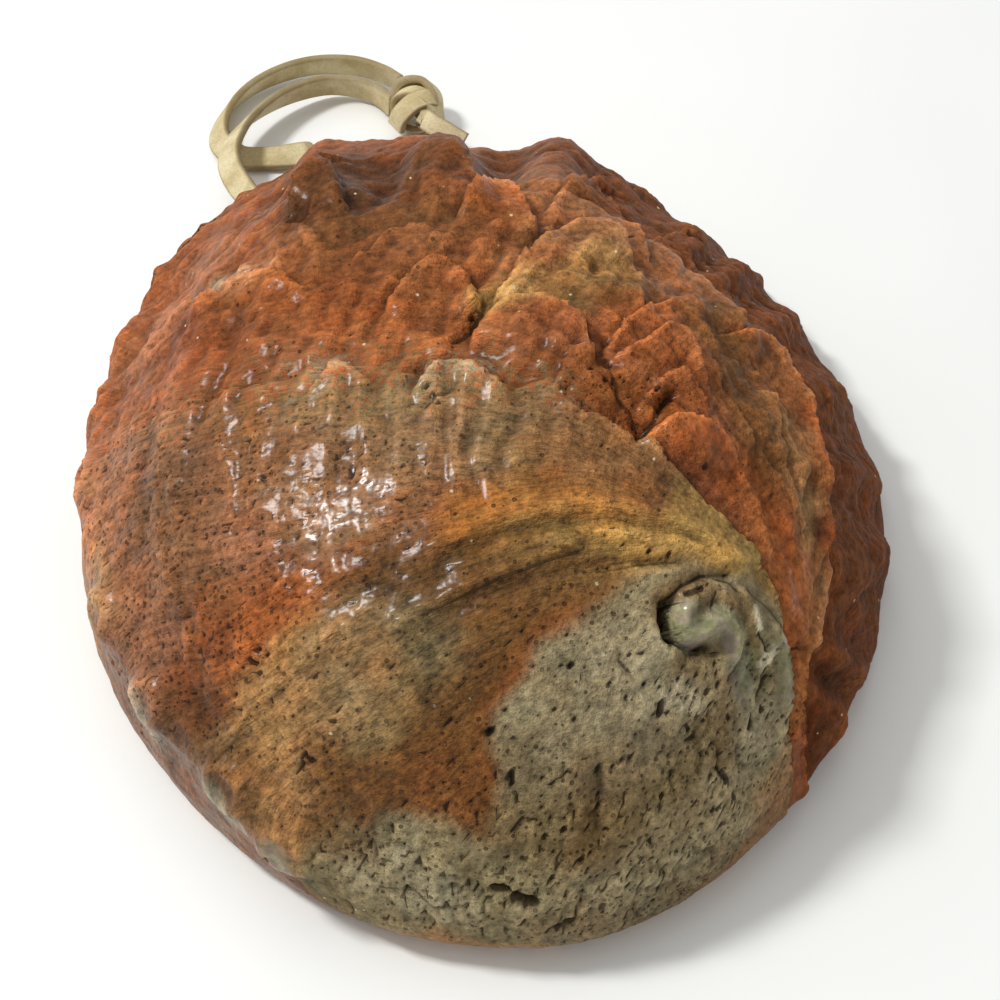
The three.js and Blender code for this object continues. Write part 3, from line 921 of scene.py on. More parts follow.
def scattered(density, cell, seed):
    """One vertex or none in each cell of a cubic lattice, more often where the density is high."""
    boxes = np.floor((base + 50 * seed) / cell).astype(np.int64)
    numbers = np.arange(len(base))
    chance = lattice(numbers, numbers * 7, numbers * 13, seed)
    draw = lattice(boxes[:, 0], boxes[:, 1], boxes[:, 2], seed + 1)
    order = np.lexsort((chance, boxes[:, 2], boxes[:, 1], boxes[:, 0]))
    sorted_boxes = boxes[order]
    first = np.ones(len(order), bool)
    first[1:] = (sorted_boxes[1:] != sorted_boxes[:-1]).any(1)
    chosen = order[first]
    return chosen[draw[chosen] < density[chosen]]


for radius, depth, pixels in PITS:
    ends = base[on_photo(pixels)]
    for a, b in zip(ends, ends[1:] if len(ends) > 1 else ends):
        for part in np.linspace(0, 1, STEPS_PER_PIT):
            sink_pit(a + (b - a) * part, HAND_PIT_SCALE * radius, depth)


def drawn(limits, draw):
    return limits[0] + limits[1] * draw


for index in scattered(PIT_SHARE * bored**PIT_POWER, PIT_CELL, 3):
    draw = lattice(index, 5, 9, 31)
    sink_pit(base[index], drawn(PIT_RADIUS, draw**2), drawn(PIT_DEPTH, draw))
for index in scattered(SLOT_SHARE * np.clip(eroded, 0, 1), SLOT_CELL, 4):
    draw = lattice(index, 3, 8, 32)
    turn = lattice(index, 6, 2, 33) - 0.5
    lean = SLOT_LEAN + SLOT_TURN_RANGE * turn * SLOT_TURN
    lean -= (lean @ normal[index]) * normal[index]
    lean /= np.linalg.norm(lean)
    for part in np.linspace(-0.5, 0.5, STEPS_PER_SLOT):
        place = base[index] + lean * part * drawn(SLOT_LENGTH, draw)
        sink_pit(place, drawn(SLOT_RADIUS, draw), SLOT_DEPTH)
height -= pit_depth

# The oldest pores hold a plug with a rim round it, the next are dents, the open ones have a rim.
PLUGGED = 4
PLUG_DEPTH = 1.0
PLUG_WIDTH = 2.6
DENT_DEPTH = 2.6
DENT_RADIUS = 1.6
PORE_RIM = 0.8
CLOSED_RIM_AT = 3.6
CLOSED_RIM_WIDTH = 1.2
OPEN_RIM_AT = 3.8
OPEN_RIM_WIDTH = 1.4
for number, point in enumerate(pore_points):
    gap = distance_to(point)
    if number < PLUGGED:
        height -= PLUG_DEPTH * bell(gap, PLUG_WIDTH)
        height += PORE_RIM * bell(gap - CLOSED_RIM_AT, CLOSED_RIM_WIDTH)
    elif number < FIRST_OPEN_PORE:
        height -= DENT_DEPTH * fading(gap, DENT_RADIUS, DENT_RADIUS)
    else:
        height += PORE_RIM * bell(gap - OPEN_RIM_AT, OPEN_RIM_WIDTH)

# the relief dies out at the rim, which stands on the floor
RIM_POWER = 14
RIM_SHARE = 0.9999
height *= 1 - share**RIM_POWER
surface = base + normal * height[:, None]
surface[share >= RIM_SHARE, 2] = 0
surface[:, 2] = np.maximum(surface[:, 2], 0)


# Colour. The older shell and the newer one are painted apart, and the material
# changes from one to the other along the ragged rest mark.
def linear(colour):
    """Linear light of a colour whose channels run from 0 to 255."""
    value = np.array(colour, float) / 255
    return np.where(value <= 0.04045, value / 12.92, ((value + 0.055) / 1.055) ** 2.4)


RED = (148, 86, 50)
ORANGE = (164, 94, 46)
RUST = (128, 72, 34)
AMBER = (196, 130, 44)
TAN = (160, 118, 74)
YELLOW = (184, 146, 80)
BROWN = (104, 72, 36)
UMBER = (84, 50, 24)
MAUVE = (126, 84, 58)
PINK = (176, 112, 76)
OLIVE = (144, 126, 86)
GREY = (138, 124, 92)
PALE = (186, 172, 140)
CREAM = (214, 204, 172)
DUSK = (104, 60, 32)
OXBLOOD = (96, 38, 18)
SILVER = (146, 140, 108)
MOSS = (126, 122, 80)
LEAF = (110, 122, 78)
# the near-black of the painted shade inside pits and cracks
PIT_SHADE_COLOUR = (34, 20, 9)
SNOW = (255, 255, 255)

# strokes of colour: colour, strength, radius, softness, line
STROKES_NEW = [
    (PINK, 0.7, 5, 8, [(200, 250), (175, 290), (160, 330)]),
    (PALE, 0.5, 2, 4, [(215, 282), (255, 276)]),
    (OXBLOOD, 0.35, 6, 9, [(160, 380), (190, 340), (230, 360)]),
    (PINK, 0.45, 5, 8, [(145, 400), (110, 440)]),
    # the shell's dark brown, with painted shade on the shadowed flank of the knob near (330, 190)
    (UMBER, 0.85, 8, 9, [(310, 172), (360, 180), (400, 170)]),
    (UMBER, 0.55, 7, 12, [(400, 165), (480, 160), (600, 165)]),
    (RUST, 0.8, 4, 6, [(300, 190), (318, 182)]),
    # painted shade under the knob near (330, 190), over the shell's brown
    (UMBER, 1.0, 4, 7, [(318, 204), (338, 202), (352, 194)]),
    (UMBER, 0.6, 5, 8, [(400, 205), (440, 205)]),
    (TAN, 0.3, 6, 10, [(520, 180), (560, 200), (620, 235), (690, 290)]),
    (BROWN, 0.45, 5, 8, [(360, 240), (420, 225), (470, 240)]),
    (BROWN, 0.35, 4, 8, [(300, 250), (330, 240)]),
    (RUST, 0.7, 3, 5, [(480, 205), (500, 215), (530, 235)]),
    (ORANGE, 0.6, 2, 4, [(492, 196), (515, 206)]),
    (ORANGE, 0.7, 3, 5, [(228, 292), (262, 284), (290, 290)]),
    (RUST, 0.6, 6, 8, [(240, 320), (300, 310), (380, 300)]),
    (RUST, 0.4, 7, 9, [(350, 270), (430, 330), (500, 345)]),
    (ORANGE, 0.3, 6, 10, [(400, 320), (450, 300)]),
    (YELLOW, 0.55, 2.5, 5, [(490, 300), (520, 290), (560, 290), (610, 275)]),
    (BROWN, 0.7, 2.5, 4, [(555, 285), (600, 300), (640, 290)]),
    (ORANGE, 0.5, 3, 5, [(615, 335), (650, 320), (680, 325), (650, 360), (700, 380)]),
    (TAN, 0.35, 5, 8, [(560, 250), (600, 260), (540, 275)]),
    (BROWN, 0.6, 3, 5, [(720, 340), (735, 380), (700, 330)]),
    (BROWN, 0.5, 6, 7, [(745, 330), (770, 400), (790, 470)]),
    (TAN, 0.6, 2, 3, [(795, 430), (808, 500), (815, 580), (812, 660), (798, 710)]),
    (TAN, 0.5, 1.5, 3, [(770, 400), (788, 450), (800, 520), (803, 600)]),
    (ORANGE, 0.5, 1, 2.5, [(800, 560), (808, 640), (795, 720)]),
    (BROWN, 0.5, 3, 4, [(745, 420), (765, 470)]),
    (ORANGE, 0.85, 3, 3, [(600, 388), (625, 410), (665, 432), (715, 450), (745, 490), (765, 530),
                          (785, 580), (793, 630)]),
    (RUST, 0.8, 2, 3, [(555, 378), (600, 392), (650, 412), (690, 405)]),
    (OXBLOOD, 0.35, 2, 3, [(690, 455), (712, 468), (735, 500)]),
    (ORANGE, 0.75, 0.8, 1.5, [(740, 334), (766, 342), (783, 364), (795, 392), (806, 416),
                              (812, 445), (820, 470), (828, 503), (821, 545)]),
    (OXBLOOD, 0.75, 3, 4, [(822, 380), (838, 400)]),
    (OXBLOOD, 0.75, 3, 4, [(850, 450), (862, 490), (872, 545), (866, 600), (850, 660), (820, 720)]),
    (OXBLOOD, 0.5, 5, 5, [(790, 300), (850, 400), (880, 520)]),
    (TAN, 0.4, 1.2, 3, [(700, 270), (740, 305), (775, 345), (800, 400)]),
    (MAUVE, 0.6, 1.5, 3, [(840, 480), (852, 540), (850, 610), (836, 670)]),
    (MAUVE, 0.5, 1.5, 3, [(800, 330), (830, 380), (856, 440)]),
    (RUST, 0.6, 1.5, 3, [(818, 480), (824, 520), (815, 560)]),
    (OXBLOOD, 0.6, 1.5, 2.5, [(821, 500), (818, 525)]),
]
STROKES_OLD = [
    (RUST, 0.45, 8, 10, [(250, 400), (350, 385), (420, 380)]),
    (TAN, 0.4, 4, 6, [(300, 380), (360, 372), (440, 370)]),
    (BROWN, 0.3, 5, 9, [(240, 430), (300, 420), (340, 440)]),
    (OLIVE, 0.4, 4, 8, [(320, 400), (350, 400), (380, 420)]),
    (PALE, 0.55, 1.2, 2, [(427, 374), (440, 367), (460, 364), (485, 370)]),
    (PALE, 0.45, 1, 2, [(318, 372), (332, 366), (350, 364)]),
    (OLIVE, 0.5, 6, 8, [(420, 400), (500, 420), (460, 460)]),
    (PINK, 0.7, 6, 8, [(100, 470), (140, 520), (160, 600), (150, 640)]),
    (MAUVE, 0.8, 9, 9, [(170, 520), (210, 560), (190, 620), (160, 660)]),
    (BROWN, 0.9, 6, 7, [(165, 510), (180, 540), (195, 570)]),
    (ORANGE, 0.7, 4, 4, [(92, 540), (96, 580)]),
    (UMBER, 0.5, 3, 5, [(215, 625), (225, 650), (205, 680)]),
    (PINK, 0.6, 3, 5, [(236, 545), (258, 565)]),
    (MAUVE, 0.55, 9, 9, [(140, 450), (150, 490), (175, 530), (190, 580)]),
    (RUST, 0.75, 4, 5, [(215, 620), (245, 615), (290, 590), (330, 600)]),
    (RUST, 0.65, 5, 6, [(200, 690), (235, 670), (280, 640), (340, 595)]),
    (ORANGE, 0.7, 2.5, 4, [(240, 700), (262, 640), (300, 600), (370, 560), (430, 530), (480, 500)]),
    (ORANGE, 0.6, 3, 4, [(400, 520), (450, 505), (470, 520)]),
    (MAUVE, 0.5, 7, 9, [(300, 480), (380, 500), (420, 470)]),
    (BROWN, 0.3, 5, 8, [(400, 560), (430, 540)]),
    (ORANGE, 0.4, 2, 5, [(500, 500), (560, 495), (640, 510), (680, 520)]),
    (AMBER, 0.4, 4, 6, [(480, 530), (540, 515), (600, 520)]),
    (BROWN, 0.3, 4, 7, [(520, 440), (560, 440), (600, 455)]),
    (RUST, 0.4, 4, 6, [(640, 480), (600, 440), (560, 430)]),
    (YELLOW, 0.75, 3, 4, [(420, 596), (500, 566), (600, 545), (680, 545), (730, 565)]),
    (YELLOW, 0.6, 3, 4, [(690, 515), (730, 545), (755, 575)]),
    (YELLOW, 0.5, 3, 5, [(310, 650), (280, 690), (250, 730)]),
    (UMBER, 0.4, 0.8, 1.5, [(430, 604), (500, 580), (560, 566), (640, 560), (700, 566)]),
    (BROWN, 0.9, 12, 10, [(420, 650), (480, 680), (450, 740), (420, 790)]),
    (UMBER, 0.55, 10, 12, [(440, 640), (470, 690), (420, 730)]),
    (BROWN, 0.75, 9, 9, [(540, 610), (520, 660), (490, 710), (480, 790)]),
    (BROWN, 0.6, 8, 8, [(350, 720), (380, 760), (430, 830)]),
    (OLIVE, 0.45, 5, 7, [(350, 660), (400, 650), (360, 700)]),
    (TAN, 0.6, 5, 8, [(270, 750), (300, 700), (340, 660)]),
    (RUST, 0.5, 2.5, 6, [(580, 640), (550, 670), (525, 700), (505, 760)]),
    (ORANGE, 0.4, 1.5, 4, [(575, 640), (550, 670), (530, 700)]),
    (RUST, 0.35, 4, 6, [(440, 790), (470, 810), (400, 820)]),
    (BROWN, 0.5, 5, 6, [(200, 770), (250, 820), (300, 860)]),
    (UMBER, 0.6, 6, 7, [(150, 740), (190, 770), (215, 745)]),
    (MAUVE, 0.75, 6, 6, [(110, 650), (150, 740), (200, 800), (270, 860), (300, 890)]),
    (PALE, 0.45, 2, 3, [(150, 695), (160, 725)]),
    (PALE, 0.5, 2, 3, [(222, 782), (240, 808)]),
    (ORANGE, 0.8, 3, 3, [(84, 510), (86, 560), (90, 600)]),
    (MOSS, 0.6, 2, 2, [(100, 600), (108, 635)]),
    (GREY, 0.95, 8, 4, [(360, 890), (420, 880), (500, 900), (600, 900), (700, 850)]),
    (GREY, 0.85, 4, 4, [(370, 850), (420, 850)]),
    (PALE, 0.3, 3, 5, [(360, 870), (400, 880), (450, 900)]),
    (BROWN, 0.6, 4, 4, [(320, 770), (350, 800), (340, 830)]),
    (GREY, 1.0, 11, 4, [(618, 705), (645, 680), (690, 645), (730, 655)]),
    (GREY, 1.0, 11, 4, [(578, 760), (620, 770), (690, 770), (735, 720)]),
    (GREY, 0.8, 9, 3, [(555, 810), (640, 830), (700, 800)]),
    (OLIVE, 0.35, 10, 6, [(560, 850), (640, 850), (700, 810)]),
    (BROWN, 0.3, 7, 7, [(545, 800), (600, 820), (650, 790), (700, 780)]),
    (PALE, 0.15, 6, 8, [(600, 700), (630, 720), (600, 740)]),
    (PALE, 0.25, 3, 4, [(610, 650), (650, 625), (640, 690)]),
    (PALE, 0.25, 6, 6, [(750, 770), (720, 820), (660, 870), (580, 910)]),
    (BROWN, 0.45, 2, 5, [(602, 765), (600, 800), (595, 850)]),
    (MOSS, 0.3, 2, 3, [(740, 640), (745, 690)]),
    (PALE, 0.3, 3, 4, [(735, 700), (750, 720)]),
    (BROWN, 0.55, 3, 3, [(694, 598), (682, 610), (700, 612)]),
    (BROWN, 0.5, 2, 2.5, [(735, 615), (738, 640)]),
    (LEAF, 0.6, 1.2, 1.5, [(746, 670), (743, 688)]),
    (BROWN, 0.45, 1.2, 2.5, [(728, 690), (730, 750)]),
    (BROWN, 0.4, 1.5, 2.5, [(696, 665), (690, 690)]),
    (SILVER, 0.9, 1.6, 1.2, [(684, 612), (686, 630), (694, 638), (703, 632), (712, 626),
                             (722, 630), (728, 642), (730, 662)]),
    (CREAM, 0.95, 0.9, 0.7, [(746, 618), (751, 630)]),
    (CREAM, 0.9, 0.8, 0.7, [(767, 658), (763, 670)]),
    (PALE, 0.7, 1.2, 1.5, [(676, 706), (690, 690), (698, 712)]),
    (SILVER, 0.7, 1.4, 1.2, [(779, 640), (784, 664), (784, 690)]),
    (AMBER, 1.0, 0.9, 0.8, [(800, 653), (801, 666), (798, 678)]),
    (UMBER, 0.4, 3, 5, [(560, 935), (650, 915), (720, 865)]),
]


def painted_colour(ground, strokes):
    """Linear colours of the vertices after the strokes, each laid over the ones before."""
    made = np.tile(linear(ground), (len(base), 1))
    for target, strength, radius, softness, pixels in strokes:
        amount = strength * fading(near_pixels(pixels, warped), radius, softness)
        made += (linear(target) - made) * amount[:, None]
    return made


def blurred(values, times):
    """A field spread over its neighbours on the grid."""
    grid = values.reshape(base_grid.shape[:2])
    for _ in range(times):
        padded = np.pad(grid, 1, mode="edge")
        around = padded[:-2, 1:-1] + padded[2:, 1:-1] + padded[1:-1, :-2] + padded[1:-1, 2:]
        grid = (around + 4 * grid) / 8
    return grid.ravel()


DUSK_STRENGTH = 0.8
new_colour = painted_colour(RED, STROKES_NEW)
band = (outer_band * (0.35 + 0.65 * right_side))[:, None]
new_colour += (linear(DUSK) - new_colour) * band * DUSK_STRENGTH
old_colour = painted_colour(TAN, STROKES_OLD)

# streaks along the growth lines, blotches and changes of warmth; the chalky part has few
CHALKY = [
    (1.0, 14, 5, [(600, 700), (645, 680), (690, 645), (740, 700)]),
    (1.0, 14, 5, [(570, 760), (620, 780), (700, 780)]),
    (0.8, 10, 6, [(380, 890), (500, 890), (640, 870)]),
]
WARM_WAY = np.array([0.6, -0.1, -0.8])
RELIEF_BLUR = 3
BROAD_BLUR = 40
STREAK_SHADE = 0.20
BLOTCH_SHADE = 0.17
FINE_SHADE = 0.12
ROUGH_SHADE = 0.05
# how much painted light and shade the relief puts into the colour, at a small and a broad size
PAINTED_RELIEF_SHADE = 1.0
PAINTED_BROAD_SHADE = 0.26
RELIEF_LIMITS = (0.5, 1.5)
BROAD_LIMITS = (0.6, 1.3)
SHADE_LIMITS = (0.4, 1.7)
# how much less of the streaks, blotches and warmth there is on chalk
CHALK_STREAK_LOSS = 0.8
CHALK_BLOTCH_LOSS = 0.5
CHALK_WARMTH_LOSS = 0.6
chalky = painted(CHALKY, warped)
streak_at = np.stack([age * 1.4, cords * 3.0, base[:, 2] * 0.0], -1)
streak = roughened(0, (0.6, 1.6, 81), (0.4, 0.8, 82), points=streak_at)
streak *= 1 - CHALK_STREAK_LOSS * chalky
blotch = fractal(base, 9, 4, 83)
value = 1 + STREAK_SHADE * streak + BLOTCH_SHADE * blotch * (1 - CHALK_BLOTCH_LOSS * chalky)
value = value + FINE_SHADE * fine + ROUGH_SHADE * rough
warmth = 0.14 * noise(base, 6, 84) + 0.10 * noise(streak_at, 1.1, 85) + 0.1 * noise(base, 2.5, 86)
warmth *= 1 - CHALK_WARMTH_LOSS * chalky
# painted light and shade: crests are paler and hollows darker, over small and broad rises
relief = height - blurred(height, RELIEF_BLUR)
broad = height - blurred(height, BROAD_BLUR)
painted_relief_shade = np.clip(1 + PAINTED_RELIEF_SHADE * relief, *RELIEF_LIMITS)
value *= painted_relief_shade * np.clip(1 + PAINTED_BROAD_SHADE * broad, *BROAD_LIMITS)
shade = np.clip(value, *SHADE_LIMITS)[:, None] * (1 + warmth[:, None] * WARM_WAY)
new_colour *= shade
old_colour *= shade

# where mother-of-pearl shows through, and where wear has polished the shell
PEARLY = [
    (0.9, 1.3, 1.0, [(680, 612), (684, 630), (692, 640), (703, 632), (712, 625), (722, 630),
                     (728, 642), (731, 662)]),
    (0.6, 1.5, 1.5, [(738, 660), (744, 690)]),
    (0.8, 1.6, 1.6, [(286, 840), (292, 852)]),
    (0.4, 1.6, 1.6, [(228, 790), (236, 802)]),
    (0.35, 1.4, 1.6, [(152, 700), (156, 718)]),
    (0.7, 1.4, 1.4, [(780, 645), (785, 668), (784, 690)]),
]
POLISHED = [
    (0.8, 2.0, 2.0, [(312, 540), (320, 556)]),
    (0.7, 1.8, 2.2, [(355, 482), (372, 492)]),
    (0.5, 2.0, 3.0, [(330, 520), (345, 505)]),
    (0.8, 1.5, 1.5, [(488, 197), (505, 200)]),
    (0.8, 2.0, 1.5, [(690, 440), (715, 460)]),
    (0.7, 1.2, 1.5, [(792, 580), (797, 610)]),
]
LEAST_GLOSS = 0.35
POLISH_GLOSS = 0.65
# how dull each part is
DULL_BAND = 0.75
DULL_ERODED = 0.75
DULL_CHALK = 0.35
DULL_NEWER = 0.4
DULL_MARGIN = 0.5
pearl = painted(PEARLY, base)
polished = np.clip(np.maximum(painted(POLISHED, base), pearl), 0, 1)
far_margin = smooth(share, 0.5, 0.9) * smooth(np.sin(angle), -0.2, 0.4)
gloss = 1 - DULL_BAND * outer_band * right_side - DULL_ERODED * eroded - DULL_CHALK * chalky
gloss -= DULL_NEWER * newer + DULL_MARGIN * far_margin
gloss = np.clip(gloss, 0, 1) * (LEAST_GLOSS + POLISH_GLOSS * polished)
gloss = np.clip(np.maximum(gloss, pearl), 0, 1)


# The mesh of the shell
def grid_faces(count, offset, keep, flip=False):
    """Quads of the kept cells of a grid of count cells a side."""
    index = np.arange((count + 1) ** 2).reshape(count + 1, count + 1) + offset
    quads = np.stack([index[:-1, :-1], index[1:, :-1], index[1:, 1:], index[:-1, 1:]], -1)
    quads = quads.reshape(-1, 4)[keep.ravel()]
    return quads[:, ::-1] if flip else quads


def rim_loop(count):
    """Grid indices of the rim, in order round the disc."""
    index = np.arange((count + 1) ** 2).reshape(count + 1, count + 1)
    return np.concatenate([index[:-1, 0], index[-1, :-1], index[:0:-1, -1], index[0, :0:-1]])


def zipper(first, second, first_turn, second_turn):
    """Triangles between two loops, matched by how far round each vertex is."""
    a = np.argsort(first_turn)
    b = np.argsort(second_turn)
    first, second = np.array(first)[a], np.array(second)[b]
    turn_a = np.append(np.array(first_turn)[a], first_turn[a[0]] + 2 * math.pi)
    turn_b = np.append(np.array(second_turn)[b], second_turn[b[0]] + 2 * math.pi)
    made = []
    i = j = 0
    while i < len(first) or j < len(second):
        step_a = i < len(first) and (j >= len(second) or turn_a[i + 1] <= turn_b[j + 1])
        here_a, here_b = first[i % len(first)], second[j % len(second)]
        if step_a:
            made.append((here_a, here_b, first[(i + 1) % len(first)]))
            i += 1
        else:
            made.append((here_a, here_b, second[(j + 1) % len(second)]))
            j += 1
    return made


# the inside, by the same rule as the CAD model's
angle_in, share_in, dome_in, normal_in = dome_grid(INSIDE_CELLS)
inner = (dome_in - CROWN_THICKNESS * normal_in).reshape(-1, 3)
widest = reach_at(angle_in) - by_direction(FOOT_TUCK, angle_in) - FOOT_THICKNESS
away = inner[:, :2] - SUMMIT[:2]
distance = np.minimum(np.hypot(away[:, 0], away[:, 1]), widest)


def round_summit(away, turn, level):
    """Points at distances from the summit's axis, at angles round it and at heights."""
    return np.stack(
        [SUMMIT[0] + away * np.cos(turn), SUMMIT[1] + away * np.sin(turn), level], -1
    )


ceiling_height = np.maximum(inner[:, 2], SHELF_THICKNESS + SHELF_SLOPE * (1 - share_in))
inner_points = round_summit(distance, angle_in, ceiling_height)

# the lace's route, as the CAD model has it
LACE_ROUTE = [
    (-22.8, 116, 4), (-28, 121.5, 4), (-38, 123.5, 4.5), (-47, 118.5, 5.5), (-54, 110, 6.5),
    (-58, 100, 7.5), (-58.5, 90, 8.5), (-54.5, 79, 9.5), (-47, 69.5, 10), (-40, 67, 10),
    (-35, 73, 9.5), (-35.5, 84, 8.5), (-38.5, 93, 6.5), (-42.5, 98.5, 3.2), (-50, 98.5, 2.2),
    (-58, 99, 2.2), (-63, 105, 2.5), (-62, 116, 3), (-55, 126, 3.5), (-44, 132, 3.8),
    (-33, 132, 4), (-25, 127.5, 4.5), (-20.4, 121.8, 5.5),
]


def between(t, low, high, a, b):
    """The point at t on the line through a at the low value and b at the high one."""
    return (high - t) / (high - low) * a + (t - low) / (high - low) * b


def curve_through(points, steps):
    """Catmull-Rom curve through open points, as the CAD model's (centripetal)."""
    points = np.array(points, float)
    points = np.concatenate([[2 * points[0] - points[1]], points, [2 * points[-1] - points[-2]]])
    made = []
    count = len(points) - 3
    for k in range(steps + 1):
        place = min(k / steps * count, count - 1e-9)
        i = int(place)
        w = place - i
        p = points[i:i + 4]
        knots = [0.0]
        for a, b in zip(p[:-1], p[1:]):
            knots.append(knots[-1] + max(np.linalg.norm(b - a), TINY) ** 0.5)
        t = knots[1] + w * (knots[2] - knots[1])
        a1 = [between(t, knots[n], knots[n + 1], p[n], p[n + 1]) for n in range(3)]
        a2 = [between(t, knots[n], knots[n + 2], a1[n], a1[n + 1]) for n in range(2)]
        made.append(between(t, knots[1], knots[2], a2[0], a2[1]))
    return np.array(made)


LACE_STEPS = 440
lace_line = curve_through(LACE_ROUTE, LACE_STEPS)


# Open pores: real holes from the outside to the inside
def ring_frame(axis):
    side = np.cross(axis, [0.0, 0.0, 1.0])
    side /= np.linalg.norm(side)
    return side, np.cross(axis, side)


TANGENT_STEPS = 3


def crossing(first, last):
    """Where the lace goes through the outside, among some steps of its line, and its way there."""
    nearest = [np.argmin(((base - lace_line[k]) ** 2).sum(1)) for k in range(first, last)]
    gaps = [((base[vertex] - lace_line[first + i]) ** 2).sum() for i, vertex in enumerate(nearest)]
    best = int(np.argmin(gaps))
    k = first + best
    tangent = lace_line[k + TANGENT_STEPS] - lace_line[k - TANGENT_STEPS]
    tangent /= np.linalg.norm(tangent)
    return lace_line[k], tangent * np.sign(tangent @ normal[nearest[best]])


def cut_ring(points, count, keep, centre, axis, radius, side_limit):
    """Drops the cells inside the hole and puts the loop left round it on the hole's circle."""
    gap = points - centre
    depth = gap @ axis
    flat = gap - depth[:, None] * axis
    away = np.linalg.norm(flat, axis=1)
    inside = ((away < radius) & (np.abs(depth) < side_limit)).reshape(count + 1, count + 1)
    cell = inside[:-1, :-1] & inside[1:, :-1] & inside[1:, 1:] & inside[:-1, 1:]
    cell &= keep
    keep &= ~cell
    touched = np.zeros((count + 1, count + 1), int)
    kept = np.zeros((count + 1, count + 1), int)
    for di in (0, 1):
        for dj in (0, 1):
            touched[di:count + di, dj:count + dj] += cell
            kept[di:count + di, dj:count + dj] += keep
    loop = np.flatnonzero(((touched > 0) & (kept > 0)).ravel())
    points[loop] += flat[loop] * (radius / np.maximum(away[loop], 1e-6) - 1)[:, None]
    side, other = ring_frame(axis)
    turn = np.arctan2(flat[loop] @ other, flat[loop] @ side)
    return loop, turn


# the steps of the lace's line among which it goes through the wall, once each way; the two
# youngest pores of the row are the ones that it uses
LACE_CROSSINGS = [(100, 180), (190, 260)]
HOLE_EXTRA_INSIDE = 0.3
OUTSIDE_REACH = 6.0
INSIDE_REACH = 14.0

holes = [(pore_points[i], pore_normals[i]) for i in range(FIRST_OPEN_PORE, len(PORES) - 2)]
holes += [crossing(first, last) for first, last in LACE_CROSSINGS]
outer_keep = np.ones((OUTSIDE_CELLS, OUTSIDE_CELLS), bool)
inner_keep = np.ones((INSIDE_CELLS, INSIDE_CELLS), bool)
hole_rings = []
for centre, axis in holes:
    outer_loop, outer_turn = cut_ring(
        surface, OUTSIDE_CELLS, outer_keep, centre, axis, PORE_RADIUS, OUTSIDE_REACH
    )
    inner_loop, inner_turn = cut_ring(
        inner_points, INSIDE_CELLS, inner_keep, centre, axis, PORE_RADIUS + HOLE_EXTRA_INSIDE,
        INSIDE_REACH,
    )
    hole_rings.append((centre, axis, outer_loop, outer_turn, inner_loop, inner_turn))

vertex_list = [surface, inner_points]
offset_in = len(surface)
total = offset_in + len(inner_points)

outer_rim = rim_loop(OUTSIDE_CELLS)
inner_rim = rim_loop(INSIDE_CELLS) + offset_in
turn_outer = angle[outer_rim]
turn_inner = angle_in[inner_rim - offset_in]


def add_row(points):
    """Adds a row of vertices and gives back their numbers."""
    global total
    vertex_list.append(points)
    total += len(points)
    return np.arange(total - len(points), total)


# the land that the shell stands on: share of its width and height of each row
LAND_ROWS = [(0.15, 0.0), (0.85, 0.0), (1.0, 0.5), (1.0, SHELF_THICKNESS)]
land_outer = reach_at(turn_inner) - by_direction(FOOT_TUCK, turn_inner)
land_inner = land_outer - by_direction(LAND_WIDTH, turn_inner)
land_rows = []
for part, level in LAND_ROWS:
    away = land_outer + (land_inner - land_outer) * part
    land_rows.append(add_row(round_summit(away, turn_inner, np.full(len(away), level))))

quads_out = grid_faces(OUTSIDE_CELLS, 0, outer_keep)
quads_in = grid_faces(INSIDE_CELLS, offset_in, inner_keep, flip=True)
triangles = zipper(outer_rim, land_rows[0], turn_outer, turn_inner)
strip_quads = []
rows = land_rows + [inner_rim]
for first, second in zip(rows[:-1], rows[1:]):
    for k in range(len(first)):
        after = (k + 1) % len(first)
        strip_quads.append((first[k], second[k], second[after], first[after]))

# the wall of each open pore: how far in, and how much narrower, its rings are
PORE_RINGS = [(0.9, 0.35), (2.2, 0.3)]
for centre, axis, outer_loop, outer_turn, inner_loop, inner_turn in hole_rings:
    side, other = ring_frame(axis)
    order = np.argsort(outer_turn)
    outer_loop, outer_turn = outer_loop[order], outer_turn[order]
    depth = (surface[outer_loop] - centre) @ axis
    round_way = np.cos(outer_turn)[:, None] * side + np.sin(outer_turn)[:, None] * other
    previous = outer_loop
    for sink, narrower in PORE_RINGS:
        deeper = centre + axis * (depth - sink)[:, None]
        here = add_row(deeper + (PORE_RADIUS - narrower) * round_way)
        for k in range(len(here)):
            after = (k + 1) % len(here)
            strip_quads.append((previous[k], previous[after], here[after], here[k]))
        previous = here
    triangles += [t[::-1] for t in zipper(previous, inner_loop + offset_in, outer_turn, inner_turn)]

points = np.concatenate(vertex_list)
face_groups = [quads_out, quads_in, np.array(strip_quads), np.array(triangles)]
used = np.zeros(total, bool)
for group in face_groups:
    used[group.ravel()] = True
renumber = np.cumsum(used) - 1
all_faces = [tuple(face) for group in face_groups for face in renumber[group].tolist()]

# the gaps left round the pores have at most this many sides
LARGEST_GAP = 12
shell_mesh = bpy.data.meshes.new("abalone_shell")
shell_mesh.from_pydata((points[used] * MM).tolist(), [], all_faces)
shell_mesh.update()
shell = add_object("abalone_shell", shell_mesh)


def finish_mesh(mesh, fill=False):
    """Turns the faces outward and shades them smoothly, after closing small gaps if asked."""
    work = bmesh.new()
    work.from_mesh(mesh)
    if fill:
        borders = [e for e in work.edges if e.is_boundary]
        bmesh.ops.holes_fill(work, edges=borders, sides=LARGEST_GAP)
    bmesh.ops.recalc_face_normals(work, faces=work.faces)
    work.to_mesh(mesh)
    work.free()
    for polygon in mesh.polygons:
        polygon.use_smooth = True


finish_mesh(shell_mesh, fill=True)


def store(name, values, default=0.0):
    """Keeps a field of the outside with the mesh, for the material to read."""
    full = np.full(total, float(default))
    full[: len(values)] = values
    attribute = shell_mesh.attributes.new(name, "FLOAT", "POINT")
    attribute.data.foreach_set("value", full[used].astype(np.float32))


